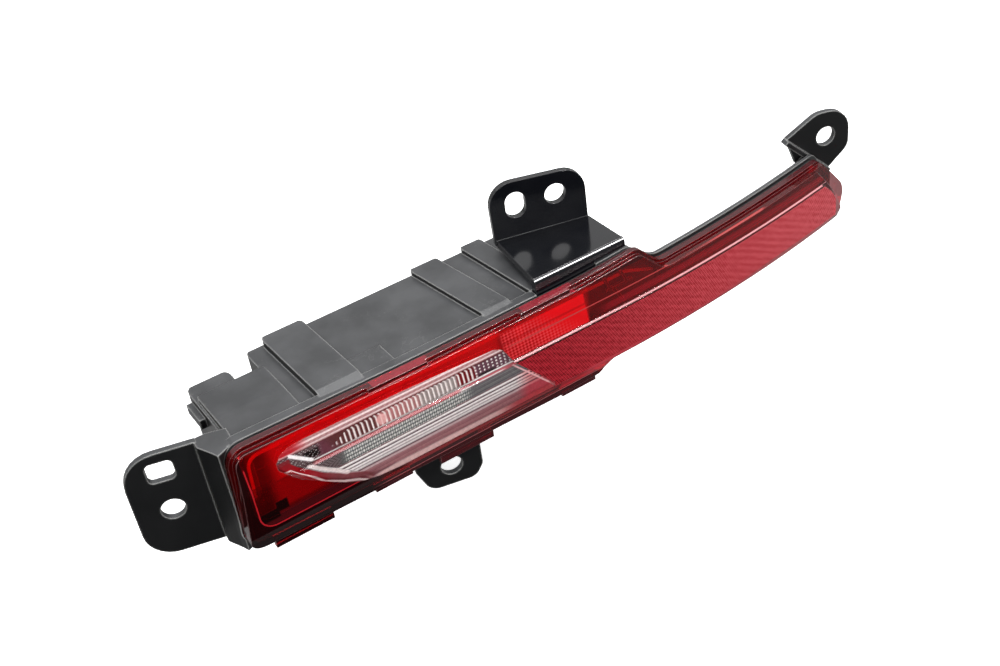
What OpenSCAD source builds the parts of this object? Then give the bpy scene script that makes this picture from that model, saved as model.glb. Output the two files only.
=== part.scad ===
// Rear bumper lamp, left side: a moulded housing with three ears, a separate top bracket and a red lens cap
// with a clear window, a reflex reflector and the optics, bulbs and holders behind them.
// The origin is the centre of the left ear's round hole, on the ear's front face. +X runs to the right,
// +Y to the rear and +Z up. The lens line is turned by sweep from the plane of the ears: along it, the
// places below are u along the line, v to the rear of the left ear's face, and z up.

/* [Whole lamp] */
// Angle between the plane of the ears and the lens line
sweep = 15.5; // [14:0.5:17]
// Place along the lens line where the tail starts to curve back
tail_u = 200; // [194:1:206]
// Radius of the tail's curve
tail_r = 800; // [720:10:1000]
// Clearance between pieces that fit into each other
fit = 0.3; // [0.15:0.05:0.4]

/* [Lens] */
// Left end of the lens flange
lens_left = 19; // [17:0.5:20]
// Right end of the lens flange
lens_right = 364.5; // [362:0.5:368]
// Top of the flange at its left end
lens_top = 29.4; // [28.5:0.1:30.5]
// Fall of the top edge from the left end to its lowest place
top_fall = 1.5; // [1:0.1:2.2]
// Height of the hump over the lowest place of the top edge
hump_h = 3; // [2.2:0.1:3.4]
// Top of the tail at its right end
tail_top = 19.8; // [19:0.1:20.2]
// Bottom of the flange at its left end
lens_bottom = -20.8; // [-21.6:0.1:-20.2]
// Drop of the bottom edge from the left end to the step
belly_drop = 3.6; // [2.5:0.1:4.5]
// Bottom of the tail
tail_bottom = -17.5; // [-18.5:0.1:-17]
// Distance from the ear's plane to the back of the lens
lens_back = 17.5; // [16.5:0.1:18.5]
// Depth of the straight flange round the lens
flange_d = 5; // [4:0.1:6]
// Distance from the flange's front to the crease
crease_d = 3.8; // [3:0.1:4.5]
// Height of the crease
crease_z = 10.6; // [10:0.1:11.2]
// How far the blade stands proud under the crease
blade_proud = 1.2; // [0.8:0.1:1.6]
// Height of the slope from the crease out to the blade
blade_ramp = 0.5; // [0.3:0.1:1]
// Wall of the lens
lens_wall = 2.5; // [2:0.1:2.8]
// Depth of the flange along its top edge
flange_top_d = 2.9; // [2.4:0.1:3.4]
// Step from the flange's top down to the lens behind its face
flange_step = 2; // [1.4:0.1:2.2]
// Depth of the weld tabs on the flange's top
weld_tab_d = 4.8; // [4:0.1:5.4]
// Length of the lugs under the flange
lug_h = 3.8; // [2.5:0.1:4.5]

/* [Window] */
// Pitch of the upright flutes
flute_p = 2.1; // [2:0.1:3]
// Depth of the flutes
flute_d = 0.9; // [0.5:0.1:1.1]
// Joint between window and red lens
window_gap = 0.1; // [0.05:0.01:0.15]

/* [Reflex plate] */
// Size of one prism
cell = 2.3; // [2.1:0.1:4]
// Height of a prism
cell_h = 1; // [0.6:0.1:1.3]
// Thickness under the prisms
reflex_t = 1.2; // [1:0.1:1.5]

/* [Seal and bezel] */
// Thickness of the seal bead between lens and housing
seal_t = 1.8; // [1.2:0.1:2.2]
// Width of the seal bead
seal_w = 2.4; // [1.8:0.1:2.6]
// Set-back of the seal from the outer edge
seal_in = 0.9; // [0.6:0.1:1.2]
// Thickness of the bezel plate
bezel_t = 1.5; // [1.2:0.1:1.8]
// Width of the bezel band at the top
band_top = 7.6; // [7:0.1:8.2]
// Width of the bezel band at the left end
band_left = 8.6; // [8.2:0.1:9.5]
// Width of the bezel band at the bottom
band_bottom = 4.6; // [4.4:0.1:5.2]
// Width of the bezel band at the top of the tail
band_tail = 4.8; // [4.6:0.1:5.6]

/* [Tray] */
// How far the tray's rim stands in front of the bezel
tray_rim = 3.1; // [2.4:0.1:3.4]
// Wall of the tray
tray_wall = 1.4; // [1.2:0.1:1.8]
// Depth of the bowls behind the bezel
bowl_d = 22; // [18:0.5:24]
// Depth of the tray in the tail, behind its rim
tail_tray_d = 5.2; // [4.8:0.1:5.6]
// Where the clear bowl ends and the fog bowl starts
divider_u = 160; // [156:1:164]
// Right end of the fog bowl
fog_right = 198; // [195:0.5:201]
// Pitch of the ribs on the fog bowl's back
bowl_flute_p = 4; // [3:0.1:5]
// Thickness of the clips on the tray's rim
clip_t = 1.5; // [1.2:0.1:1.8]

/* [Housing] */
// Wall of the housing
wall = 2.6; // [2.2:0.1:3]
// Depth of the front rim
rim_d = 4.7; // [4:0.1:5.5]
// Height of the rim over the top of the tail
tail_lip = 0.9; // [0.5:0.1:1.4]
// Top of the deck behind the rim
deck_z = 27; // [26:0.1:27.6]
// Rear face of the deck
deck_back = 40.5; // [38:0.5:43]
// Step from the deck up to the raised blocks
block_h = 3; // [2:0.1:4]
// Bottom of the rear body
body_bottom = -16.5; // [-17.5:0.1:-16]
// Right end of the rear body
body_right = 222; // [219:1:226]
// Depth of the pan behind the tail
pan_d = 9; // [7:0.5:11]

/* [Fixing ears] */
// Thickness of the ears
ear_t = 3; // [2.5:0.1:3.6]
// Diameter of the round fixing holes
hole_d = 10; // [8:0.1:10.6]
// Width of the left ear's locating hole
locate_w = 11; // [9:0.1:12]
// Height of the left ear's locating hole
locate_h = 9.6; // [8:0.1:11]
// Height of the locating hole over the round one
locate_z = 19.7; // [19:0.1:20.5]
// Left edge of the left ear
ear_left = -15.2; // [-17:0.1:-14]
// Top of the left ear
ear_top = 29; // [28.8:0.1:31]
// Bottom of the left ear
ear_bottom = -22.5; // [-24:0.1:-21.5]
// Distance of the right ear's hole from the lens's right end, along X
right_in = 7.24; // [6:0.02:9]
// Place of the right ear behind the lens's right end
right_back = 3.34; // [2.5:0.02:4]
// Height of the right ear's hole
right_z = 26.4; // [25:0.1:28]
// Radius of the right ear round its hole
right_r = 12.8; // [12:0.1:14]
// Place of the bottom ear's hole along X
low_x = 117.1; // [114:0.1:120]
// Place of the bottom ear behind the left one
low_y = 20; // [19.5:0.1:21]
// Height of the bottom ear's hole
low_z = -40; // [-42:0.1:-38]
// Width of the bottom ear
low_w = 31; // [28:0.5:33]
// Bottom edge of the bottom ear under its hole
low_edge = 11; // [9:0.1:12]

/* [Top bracket] */
// Thickness of the bracket
bracket_t = 3; // [2.5:0.1:3.5]
// Place of the tab behind the left ear
tab_y = 70; // [69:0.5:72]
// Left edge of the tab
tab_left = 163.5; // [162:0.5:165]
// Right edge of the tab
tab_right = 209; // [207:0.5:211]
// Top of the tab
tab_top = 62.6; // [61:0.1:65]
// Height of the plate's upper face
plate_z = 35.5; // [34.5:0.1:37]
// Height of the two holes in the tab
tab_hole_z = 51.4; // [50:0.1:53]
// Place of the round hole along X
tab_hole_x = 194.6; // [193:0.1:196]
// Place of the oblong hole along X
slot_x = 175.7; // [174.5:0.1:177]
// Width of the oblong hole
slot_w = 9.5; // [8:0.1:10]
// Height of the oblong hole
slot_h = 12.9; // [11:0.1:14]
// Left end of the skirt along the lens line
skirt_left = 171.6; // [170.5:0.1:173]
// Right end of the skirt along the lens line
skirt_right = 220.2; // [218:0.1:222]
// Front face of the skirt behind the lens
skirt_in = 2.4; // [2.2:0.1:2.6]
// Bottom of the pocket for the skirt
skirt_z = 25.4; // [25.2:0.1:26]

/* [Bulbs and holders] */
// Place of the reversing bulb along the lens line
reverse_u = 96; // [92:1:104]
// Place of the fog bulb along the lens line
fog_u = 179; // [178:1:180]
// Height of both bulbs
bulb_z = 3.5; // [2:0.1:5]
// Diameter of a bulb's glass
glass_d = 16; // [13:0.1:18]
// Length of a bulb's glass
glass_l = 31; // [28:0.5:34]
// Diameter of the bore for a holder
holder_bore = 27; // [25:0.1:29]
// Diameter of a holder's flange
holder_flange = 34; // [32:0.1:35]
// Thickness of a holder's flange
flange_t = 3; // [2.5:0.1:4]
// Length of a holder's connector shroud
shroud_l = 15; // [12:0.5:18]
// Thickness of a holder's seal
holder_seal_t = 2; // [1.5:0.1:2.5]
// Height of the round bosses on the rear wall
boss_h = 2; // [1.6:0.1:3]

/* [Vent] */
// Distance from the fog bulb to the vent, along the lens line
vent_in = 37; // [35:1:41]
// Outer diameter of the vent's cap
vent_d = 13; // [11:0.1:15]
// Diameter of the vent's hole
vent_bore = 5; // [4.2:0.1:6]

/* [Hidden] */
$fn = 48;

// How far a cutting shape runs past the face that it cuts
over = 1;
// Reach of a shape that another one trims
far = 80;
// Planes across the lens line, from front to rear
crease_v = -lens_back - flange_d - crease_d;
flange_v = -lens_back - flange_d;
blade_v = crease_v - blade_proud;
rim_v = -lens_back + seal_t;
deck_v = rim_v + rim_d;
ledge_v = rim_v + bezel_t + fit;
tray_v = rim_v + fit - tray_rim;
// Centre of the tail's curve, in v
arc_v = tail_r + flange_v;
// Slope of the face over the crease
face_slope = crease_d / (lens_top - crease_z);

// Outline of the lens flange in front view: u, z and corner radius, counter-clockwise
hump_u = tail_u + 23.3;
step_u = tail_u - 1.8;
end_z = tail_top - 23.3;
top_low = lens_top - top_fall;
lens_outline = [
    [lens_left + 2.5, lens_top, 8],
    [lens_left, lens_bottom, 7],
    [step_u - 27, lens_bottom - belly_drop, 30],
    [step_u - 3, lens_bottom - belly_drop + 1, 4],
    [step_u + 4, tail_bottom, 4],
    [lens_right - 3, tail_bottom, 6],
    [lens_right + 2, end_z, 11],
    [lens_right - 19, tail_top, 5],
    [hump_u + 11.6, tail_top - 1.3, 9],
    [hump_u, top_low + hump_h, 7],
    [hump_u - 33.3, top_low + 1.1, 400],
    [hump_u - 111.3, top_low, 1200]];
// The housing's rim has the lens's outline, with a lip over the top of the tail and its corner set back
rim_outline = [for (i = [0:len(lens_outline) - 1]) let (c = lens_outline[i])
    i == 7 ? [c[0] + 2, c[1] + tail_lip, c[2]]
        : (i == 8 ? [c[0] + 0.4, c[1] + tail_lip, 12] : (i == 9 ? [c[0] - 2.6, c[1] - 0.1, c[2]] : c))];
// Opening of the bezel, which the tray's rim stands in
tray_outline = [
    [lens_left + band_left + 1.2, lens_top - band_top, 6],
    [lens_left + band_left - 0.8, lens_bottom + band_bottom, 8],
    [step_u - 27, lens_bottom - belly_drop + band_bottom, 30],
    [step_u - 6, lens_bottom - belly_drop + 1 + band_bottom, 4],
    [step_u + 2, tail_bottom + band_bottom, 4],
    [lens_right - 12, tail_bottom + band_bottom, 4],
    [lens_right - 12, tail_top - 17, 8],
    [lens_right - 24.5, tail_top - band_tail, 6],
    [tail_u + 36, tail_top - band_tail - 1, 8],
    [tail_u + 17, lens_top - band_top - 0.4, 8],
    [tail_u - 60, lens_top - band_top - 0.6, 400]];

// Height of the blade's lower edge, and of the bend under it in the lens's face
blade_low = tail_bottom + 5;
knee_z = blade_low + 1;

// Front face of the lens in section, v against z, from top to bottom
face = [
    [crease_v + (far / 2 - crease_z) * face_slope, far / 2],
    [crease_v, crease_z],
    [crease_v, knee_z],
    [crease_v + 1.3, knee_z - 3],
    [flange_v, lens_bottom],
    [flange_v + 2, lens_bottom - 10]];

// Outline of the window: upper and lower edge over u
window_left = lens_left + 19.5;
window_right = lens_left + 148.5;
window_top = [for (p = [[0, -4], [2.5, -1.2], [6.5, 0.3], [13, 0.7], [57.5, 0], [103, -2], [107, -3.8],
    [111, -11.5], [131, -34]]) [window_left + p[0], lens_top - 7.9 + p[1]]];
window_low = [for (p = [[0, 27], [1.5, 25.1], [4.5, 22.1], [7.5, 19.3], [13.5, 14.7], [19.5, 10.3], [25.5, 6.3],
    [31.5, 3.3], [39.5, 1.5], [49.5, 0.7], [131.5, 0]]) [window_left + p[0], blade_low + p[1]]];
// Half of a flute's pitch is one column of the window's inner face
columns = floor((window_right - window_left - 2 * window_gap) / (flute_p / 2));
// Rows of the window's inner face below and above the crease
rows_low = 6;
rows_high = 5;

// Reflex plate: its place behind the lens's wall, and the numbers of its cells
reflex_v = crease_v + lens_wall + fit;
reflex_left = window_left + 117;
reflex_right = lens_right - 13.5;
reflex_cols = floor((reflex_right - reflex_left) / cell);
reflex_top = crease_z - 2.6;
reflex_low = blade_low + 2.2;
reflex_rows = floor((reflex_top - reflex_low) / cell);

// Tray
tray_back = tray_v + tray_rim + bowl_d;
tail_floor = tray_v + tail_tray_d;

// Housing: thickness of the rim's lip, width of the ledge under the bezel, floor of the rim, left side of the
// left box
lip_t = 1.7;
ledge_w = 1.4;
floor_v = tail_floor + fit;
box_left = lens_left + 9.2;
seat_v = deck_back + boss_h;
vent_u = fog_u - vent_in;

// Bulbs and holders
plug_l = 8;
shroud_w = 15;
shroud_h = 10;
shroud_wall = 1.6;
pin_w = 2.8;
pin_t = 0.8;
pin_pitch = 5.5;
bayonet_w = 5;
bayonet_in = 2;
bayonet_r = holder_bore / 2 + bayonet_in;

// Vectors and rounded corners
function unit(a) = a / norm(a);
function turn(a) = [-a[1], a[0]];
function cross2(a, b) = a[0] * b[1] - a[1] * b[0];
function flat(p) = [p[0], p[1]];
function corner(a, p, b, r, n) =
    let (d1 = unit(a - p), d2 = unit(b - p), half = acos(max(-1, min(1, d1 * d2))) / 2)
    let (c = p + unit(d1 + d2) * r / sin(half), t1 = p + d1 * r / tan(half) - c, t2 = p + d2 * r / tan(half) - c)
    let (a1 = atan2(t1[1], t1[0]), raw = atan2(t2[1], t2[0]) - a1)
    let (step = raw > 180 ? raw - 360 : (raw < -180 ? raw + 360 : raw))
    [for (i = [0:n]) c + r * [cos(a1 + step * i / n), sin(a1 + step * i / n)]];
function rounded(c, n = 7) = let (m = len(c)) [for (i = [0:m - 1])
    each corner(flat(c[(i + m - 1) % m]), flat(c[i]), flat(c[(i + 1) % m]), c[i][2], n)];
// The same outline a width further in: sharp corners lose the width from their radius, hollow ones gain it
function inset(c, w) = let (m = len(c)) [for (i = [0:m - 1])
    let (a = flat(c[(i + m - 1) % m]), p = flat(c[i]), b = flat(c[(i + 1) % m]))
    let (n1 = turn(unit(p - a)), n2 = turn(unit(b - p)), q = p + (n1 + n2) * w / (1 + n1 * n2))
    [q[0], q[1], max(0.6, cross2(p - a, b - p) > 0 ? c[i][2] - w : c[i][2] + w)]];

// Place of the right ear, by the end of the flange
function lens_to_lamp(u, v) = [u * cos(sweep) - v * sin(sweep), u * sin(sweep) + v * cos(sweep)];
lens_end = bend(lens_right, flange_v, 0);
right_x = lens_to_lamp(lens_end[0], lens_end[1])[0] - right_in;
right_y = lens_to_lamp(lens_end[0], lens_end[1])[1] + right_back;

// Height and depth of the lens's faces
function swap(list) = [for (p = list) [p[1], p[0]]];
function up_face(list) = [for (i = [len(list) - 1:-1:0]) list[i]];
face_table = up_face(swap(face));
function base_v(z) = lookup(z, face_table);
function outer_v(z) = z >= crease_z ? base_v(z)
    : (z <= crease_z - blade_ramp ? blade_v : crease_v - blade_proud * (crease_z - z) / blade_ramp);
function window_hi(u) = lookup(u, window_top) - window_gap;
function window_lo(u) = lookup(u, window_low) + window_gap;
// A point of the swept frame: straight up to tail_u and on the arc past it
function bend(u, v, z) = u <= tail_u ? [u, v, z]
    : let (a = (u - tail_u) / (arc_v - v) * 180 / PI) [tail_u + (arc_v - v) * sin(a), arc_v - (arc_v - v) * cos(a), z];
// Faces of a body made of rings of m points, with the triangles of its first end
function ring_faces(rings, m, cap) = concat(cap,
    [for (t = cap) let (o = (rings - 1) * m) [o + t[2], o + t[1], o + t[0]]],
    [for (i = [0:rings - 2]) for (j = [0:m - 1])
        each [[i * m + (j + 1) % m, i * m + j, (i + 1) * m + j],
            [i * m + (j + 1) % m, (i + 1) * m + j, (i + 1) * m + (j + 1) % m]]]);

// Turns the lens's own frame into the lamp's
module lens_frame() {
    rotate([0, 0, sweep]) children();
}

// An outline in front view, drawn from v0 back to v1
module prism(points, v0, v1) {
    translate([0, v1, 0]) rotate([90, 0, 0]) linear_extrude(v1 - v0) polygon(points);
}

// A section in v and z, drawn along the lens line and round the tail's curve, from u0 or from the curve's start
module swept(section, u0 = 0, u1 = 420) {
    if (u0 < tail_u)
        translate([u0, 0, 0]) rotate([90, 0, 90]) linear_extrude(min(u1, tail_u) - u0) polygon(section);
    if (u1 > tail_u)
        translate([tail_u, arc_v, 0]) rotate([0, 0, -90])
            rotate_extrude(angle = asin((u1 - tail_u) / tail_r), $fn = 720)
                polygon([for (p = section) [arc_v - p[0], p[1]]]);
}

// A band between two planes across the lens line, following the curve
module slab(v0, v1, z0 = -far, z1 = far, u0 = 0, u1 = 420) {
    swept([[v0, z0], [v1, z0], [v1, z1], [v0, z1]], u0, u1);
}

// A block with plain sides in the lens's frame
module block(u0, u1, v0, v1, z0, z1) {
    translate([u0, v0, z0]) cube([u1 - u0, v1 - v0, z1 - z0]);
}

// A block drawn along u from a section in v and z
module ridge(u0, u1, section) {
    translate([u0, 0, 0]) rotate([90, 0, 90]) linear_extrude(u1 - u0) polygon(section);
}

// A bore or pin along the depth of the lens
module depth_rod(u, z, d, v0, v1) {
    translate([u, v0, z]) rotate([-90, 0, 0]) cylinder(d = d, h = v1 - v0);
}

module lens_solid(outline, section) {
    intersection() {
        prism(rounded(outline), -far, far);
        swept(section);
    }
}

// Sides of the window, as the lens's opening and the blade's left end
window_edge = concat(
    [for (i = [0:columns]) let (u = window_left + i * flute_p / 2) [u, lookup(u, window_low)]],
    [[window_right, lookup(window_right, window_low)], [window_right, lookup(window_right, window_top)]],
    [for (i = [columns:-1:0]) let (u = window_left + i * flute_p / 2) [u, lookup(u, window_top)]]);

// The slanted seam between window and red blade, from the crease down
seam_top = window_left + 110;
blade_outline = [
    [seam_top, crease_z, 0.2],
    [window_right, blade_low, 0.2],
    [step_u - 4, blade_low - 1.2, 20],
    [tail_u + 0.43 * (lens_right - tail_u), blade_low - 0.4, 60],
    [tail_u + 0.64 * (lens_right - tail_u), blade_low + 0.8, 60],
    [lens_right - 11, blade_low + 0.8, 4],
    [lens_right - 6.7, blade_low + 3.4, 3],
    [lens_right - 15.2, blade_low + 16, 5],
    [lens_right - 22.5, crease_z, 5]];

module outer_lens() {
    color([0.62, 0.02, 0.04, 0.55]) lens_frame() {
        difference() {
            union() {
                difference() {
                    lens_solid(lens_outline, concat(face, [[-lens_back, lens_bottom - 10], [-lens_back, far / 2]]));
                    end_step(0);
                    top_step(0);
                }
                blade();
                weld_tabs();
                low_lugs();
            }
            difference() {
                lens_solid(inset(lens_outline, lens_wall),
                    concat([for (p = face) p + [lens_wall, 0]],
                        [[-lens_back + over, lens_bottom - 10], [-lens_back + over, far / 2]]));
                end_step(lens_wall);
                top_step(lens_wall);
            }
            prism(window_edge, -far, 0);
        }
    }
}

// Outline of the raised face at the slanted right end, a little outside the blade
raised_end = [
    [tail_u - 20, far, 1],
    [tail_u - 20, -far, 1],
    [lens_right - 5.4, -far, 1],
    [lens_right - 5.4, blade_low + 2.1, 4],
    [lens_right - 14, crease_z - 6.4, 8],
    [lens_right - 26.5, tail_top + 0.5, 4],
    [lens_right - 28.5, far, 1]];

// Room in front of the flange, round the raised face. For the hollow behind it, both are set in by w
module end_step(w) {
    difference() {
        slab(-far, flange_v - 0.3 + w, -far + over, far - over, tail_u);
        prism(rounded(inset(raised_end, w)), -far - over, far);
    }
}

module blade() {
    intersection() {
        prism(rounded(blade_outline, 5), -far, far);
        swept([[blade_v, crease_z - blade_ramp], [blade_v, blade_low - 8], [crease_v + 1.5, blade_low - 8],
            [crease_v + 1.5, crease_z], [crease_v, crease_z]], window_left + 100);
    }
}

// Outline of the lens in front of its flange: a step further in at the top, and past the flange elsewhere
stepped = [for (i = [0:len(lens_outline) - 1]) let (c = inset(lens_outline, i == 7 || i == 8 ? 1.5 : flange_step)[i])
    i >= 7 || i == 0 ? c : [c[0], -far, 1]];
body_top = concat([stepped[0], [lens_left - 0.6, lens_bottom, 1], [lens_left, -far, 1], [lens_right + 20, -far, 1],
    [lens_right + 20, tail_top - 1.5, 1]], [for (i = [8:11]) stepped[i]]);

// Room over the step along the flange's top. For the hollow behind it, both are set in by w
module top_step(w) {
    difference() {
        slab(-far, -lens_back - flange_top_d + w, -far + over, far - over);
        prism(rounded(inset(body_top, w)), -far - over, far);
    }
}

// Weld tabs, which carry the flange's top forward over the step: left and right end of each
tab_spans = [[64.6, 92.5], [139, 165]];
module weld_tabs() {
    for (s = tab_spans)
        intersection() {
            difference() {
                prism(rounded(lens_outline), -far, far);
                prism(rounded(inset(lens_outline, flange_step + 0.3)), -far - over, far + over);
            }
            slab(-lens_back - weld_tab_d, -lens_back - flange_top_d + 0.4, crease_z, far, lens_left + s[0],
                lens_left + s[1]);
        }
}

// Lugs under the flange: left end, right end and depth
lug_spans = [[11, 38, 1], [58.5, 76.6, 0.4], [90.6, 118, 1], [155.8, 174.5, 0.2]];
module low_lugs() {
    for (s = lug_spans)
        ridge(lens_left + s[0], lens_left + s[1], [[flange_v + 1.6, lens_bottom - 1 - lug_h * s[2] - lug_base(s)],
            [-lens_back - 1, lens_bottom - 1 - lug_h * s[2] - lug_base(s)],
            [-lens_back - 1, lens_bottom + 1.4], [flange_v + 1.6, lens_bottom + 1.4]]);
}
// Fall of the flange's bottom edge at a lug
function lug_base(s) = belly_drop * (s[0] + s[1]) / 2 / (step_u - 27 - lens_left);

// Clear window: smooth outside, with flutes over the crease and rows of pillows under it on the inside
module clear_window() {
    crease_at = function (u) let (lo = window_lo(u), hi = window_hi(u), h = hi - lo)
        max(lo + 0.3 * h, min(hi - 0.3 * h, crease_z));
    inner_z = function (u, j) let (c = crease_at(u))
        j <= rows_low ? window_lo(u) + (c - window_lo(u)) * j / rows_low
            : c + (window_hi(u) - c) * (j - rows_low) / rows_high;
    inner = function (u, i, j) let (z = inner_z(u, j), last = rows_low + rows_high)
        let (bump = i % 2 == 0 && j > 0 && j < last && (j > rows_low || j % 2 == 1) ? flute_d : 0)
        [u, base_v(z) + lens_wall + bump, z];
    outer = function (u, z) [u, outer_v(z), z];
    ring = function (u, i) let (c = crease_at(u)) concat(
        [for (j = [0:rows_low + rows_high]) inner(u, i, j)],
        [outer(u, window_hi(u)), outer(u, c), outer(u, c - min(blade_ramp, 0.3 * (c - window_lo(u)))),
            outer(u, window_lo(u))]);
    edge_u = function (i) i == 0 ? window_left + window_gap
        : (i == columns + 1 ? window_right - window_gap : window_left + i * flute_p / 2);
    m = rows_low + rows_high + 5;
    cap = concat([for (j = [0:rows_low - 1]) [m - 1, j, j + 1]],
        [[m - 1, rows_low, m - 2], [m - 2, rows_low, m - 3]],
        [for (j = [rows_low:m - 6]) [m - 3, j, j + 1]], [[m - 3, m - 5, m - 4]]);
    color([0.9, 0.9, 0.92, 0.5]) lens_frame()
        polyhedron([for (i = [0:columns + 1]) each ring(edge_u(i), i == columns + 1 ? 1 : i)],
            ring_faces(columns + 2, m, cap), convexity = 10);
}

// Reflex plate: a curved strip with a field of four-sided prisms on its back
reflex_floor = [[0, 11.5], [4, 9], [16, 0], [reflex_right - reflex_left, 0]];
reflex_roof = [for (p = [[-200, 0], [-8, 0], [-5.2, -2.8], [0, -10.6]]) [reflex_right - reflex_left + p[0], p[1]]];
function reflex_z(s, j) = let (lo = reflex_low + lookup(s, reflex_floor), hi = reflex_top + lookup(s, reflex_roof))
    lo + (hi - lo) * j / reflex_rows;
module reflex_plate() {
    nc = reflex_cols;
    nr = reflex_rows;
    width = (reflex_right - reflex_left) / nc;
    back = reflex_v + reflex_t;
    grid = [for (i = [0:nc]) for (j = [0:nr]) bend(reflex_left + i * width, back, reflex_z(i * width, j))];
    tips = [for (i = [0:nc - 1]) for (j = [0:nr - 1]) bend(reflex_left + (i + 0.5) * width, back + cell_h,
        (reflex_z(i * width, j) + reflex_z(i * width, j + 1) + reflex_z((i + 1) * width, j)
            + reflex_z((i + 1) * width, j + 1)) / 4)];
    front = [for (i = [0:nc]) for (j = [0, nr]) bend(reflex_left + i * width, reflex_v, reflex_z(i * width, j))];
    g = function (i, j) i * (nr + 1) + j;
    t = function (i, j) (nc + 1) * (nr + 1) + i * nr + j;
    f = function (i, k) (nc + 1) * (nr + 1) + nc * nr + i * 2 + k;
    prisms = [for (i = [0:nc - 1]) for (j = [0:nr - 1]) each [
        [g(i, j), g(i, j + 1), t(i, j)], [g(i, j + 1), g(i + 1, j + 1), t(i, j)],
        [g(i + 1, j + 1), g(i + 1, j), t(i, j)], [g(i + 1, j), g(i, j), t(i, j)]]];
    fronts = [for (i = [0:nc - 1]) each [[f(i, 0), f(i + 1, 1), f(i, 1)], [f(i, 0), f(i + 1, 0), f(i + 1, 1)]]];
    lows = [for (i = [0:nc - 1]) each [[f(i, 0), g(i, 0), g(i + 1, 0)], [f(i, 0), g(i + 1, 0), f(i + 1, 0)]]];
    highs = [for (i = [0:nc - 1]) each [[f(i, 1), g(i + 1, nr), g(i, nr)], [f(i, 1), f(i + 1, 1), g(i + 1, nr)]]];
    ends = [concat([f(0, 0), f(0, 1)], [for (j = [nr:-1:0]) g(0, j)]),
        concat([f(nc, 1), f(nc, 0)], [for (j = [0:nr]) g(nc, j)])];
    color([0.75, 0.05, 0.08]) lens_frame()
        polyhedron(concat(grid, tips, front), concat(prisms, fronts, lows, highs, ends), convexity = 10);
}

module lens_seal() {
    color([0.03, 0.03, 0.03]) lens_frame()
        intersection() {
            difference() {
                prism(rounded(inset(lens_outline, seal_in)), -far, far);
                prism(rounded(inset(lens_outline, seal_in + seal_w)), -far - over, far + over);
            }
            slab(-lens_back, rim_v);
        }
}

// Black frame between the lens's wall and the tray's rim, with a notch for the bracket's tongue
module bezel() {
    color([0.05, 0.05, 0.055]) lens_frame()
        intersection() {
            difference() {
                prism(rounded(inset(lens_outline, wall + fit)), -far, far);
                prism(rounded(inset(tray_outline, -fit)), -far - over, far + over);
                skirt_pocket();
            }
            slab(rim_v + fit, rim_v + fit + bezel_t);
        }
}

// Metallised tray: a rim that follows the bezel's opening, two bowls and a shallow tail
module reflector_tray() {
    inner = inset(tray_outline, tray_wall);
    color([0.85, 0.12, 0.12]) lens_frame()
        difference() {
            union() {
                intersection() {
                    prism(rounded(tray_outline), -far, far);
                    slab(tray_v, tail_floor);
                }
                bowl(0, 0);
            }
            intersection() {
                prism(rounded(inner), -far, far);
                slab(tray_v - over, tail_floor - tray_wall);
            }
            bowl(tray_wall, over);
            for (u = [reverse_u, fog_u])
                depth_rod(u, bulb_z, glass_d + 2 * fit + 1, tail_floor - 3 * over, tray_back + over);
        }
}

// The two bowls, or their hollows when they are set in by a wall
module bowl(w, front) {
    left = box_left + wall + fit;
    low = body_bottom + wall + 0.2 + fit;
    high = lens_top - band_top - 2;
    for (span = w > 0 ? [[left, divider_u], [divider_u + w, fog_right]] : [[left, fog_right]])
        difference() {
            round_bowl(span[0] + w, span[1] - w, tail_floor - w - front, tray_back - w, low + w, high - w);
            if (w > 0 && span[1] == fog_right)
                for (u = [span[0] + w + bowl_flute_p / 2:bowl_flute_p:span[1] - w - bowl_flute_p / 2])
                    translate([u, tray_back - w + 0.6, low]) cylinder(r = bowl_flute_p * 0.45, h = high - low, $fn = 24);
        }
}

// A bowl with a back that narrows towards the rear
module round_bowl(u0, u1, v0, v1, z0, z1) {
    taper = 5;
    intersection() {
        ridge(u0, u1, [[v0, z0], [v1 - 6, z0 + 1], [v1, z0 + taper + 1], [v1, z1 - taper], [v1 - 6, z1 - 0.5], [v0, z1]]);
        translate([0, 0, z0 - over]) linear_extrude(z1 - z0 + 2 * over)
            polygon([[u0, v0 - over], [u1, v0 - over], [u1, v1 - 7], [u1 - taper, v1 + over],
                [u0 + taper, v1 + over], [u0, v1 - 7]]);
    }
}

// Strip on the floor of the tray's tail
module tail_strip() {
    top = tail_top - band_tail - tray_wall - 6.9;
    strip = [[tail_u + 32, top - 9, 0.5], [lens_right - 17.5, top - 9, 2], [lens_right - 27.5, top, 2],
        [tail_u + 40, top, 2]];
    color([0.8, 0.3, 0.3]) lens_frame()
        intersection() {
            prism(rounded(strip, 4), -far, far);
            slab(tail_floor - tray_wall - 1.6, tail_floor - tray_wall);
        }
}

// Clips on the front edge of the tray's upper rim, each with two legs and a bar over a base: left end and
// middle height of each, height of its bar, and how far its legs lean
clip_places = [[window_left + 21.2, lens_top - band_top - 1.9, -0.8, 0],
    [tail_u + 3.2, lens_top - band_top - 1.4, -3.2, 3.4]];
module tray_clips() {
    color([0.75, 0.1, 0.12]) lens_frame()
        for (p = clip_places) {
            for (leg = [0, 9.1])
                prism([[p[0] + leg, p[1] + 3.5], [p[0] + leg + p[3], p[1] - 4.4], [p[0] + leg + p[3] + 1.5, p[1] - 4.4],
                    [p[0] + leg + 1.5, p[1] + 3.5]], tray_v - clip_t, tray_v);
            block(p[0] + p[3] - 1.6, p[0] + p[3] + 13, tray_v - clip_t, tray_v, p[1] + p[2] - 1.2, p[1] + p[2]);
            if (p[3] > 0)
                prism([[p[0] + p[3] + 1, p[1] - 4.5], [p[0] + p[3] + 6, p[1] - 12], [p[0] + p[3] + 7.6, p[1] - 12],
                    [p[0] + p[3] + 3, p[1] - 4.2]], tray_v - clip_t, tray_v - 0.1);
        }
}

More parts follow.
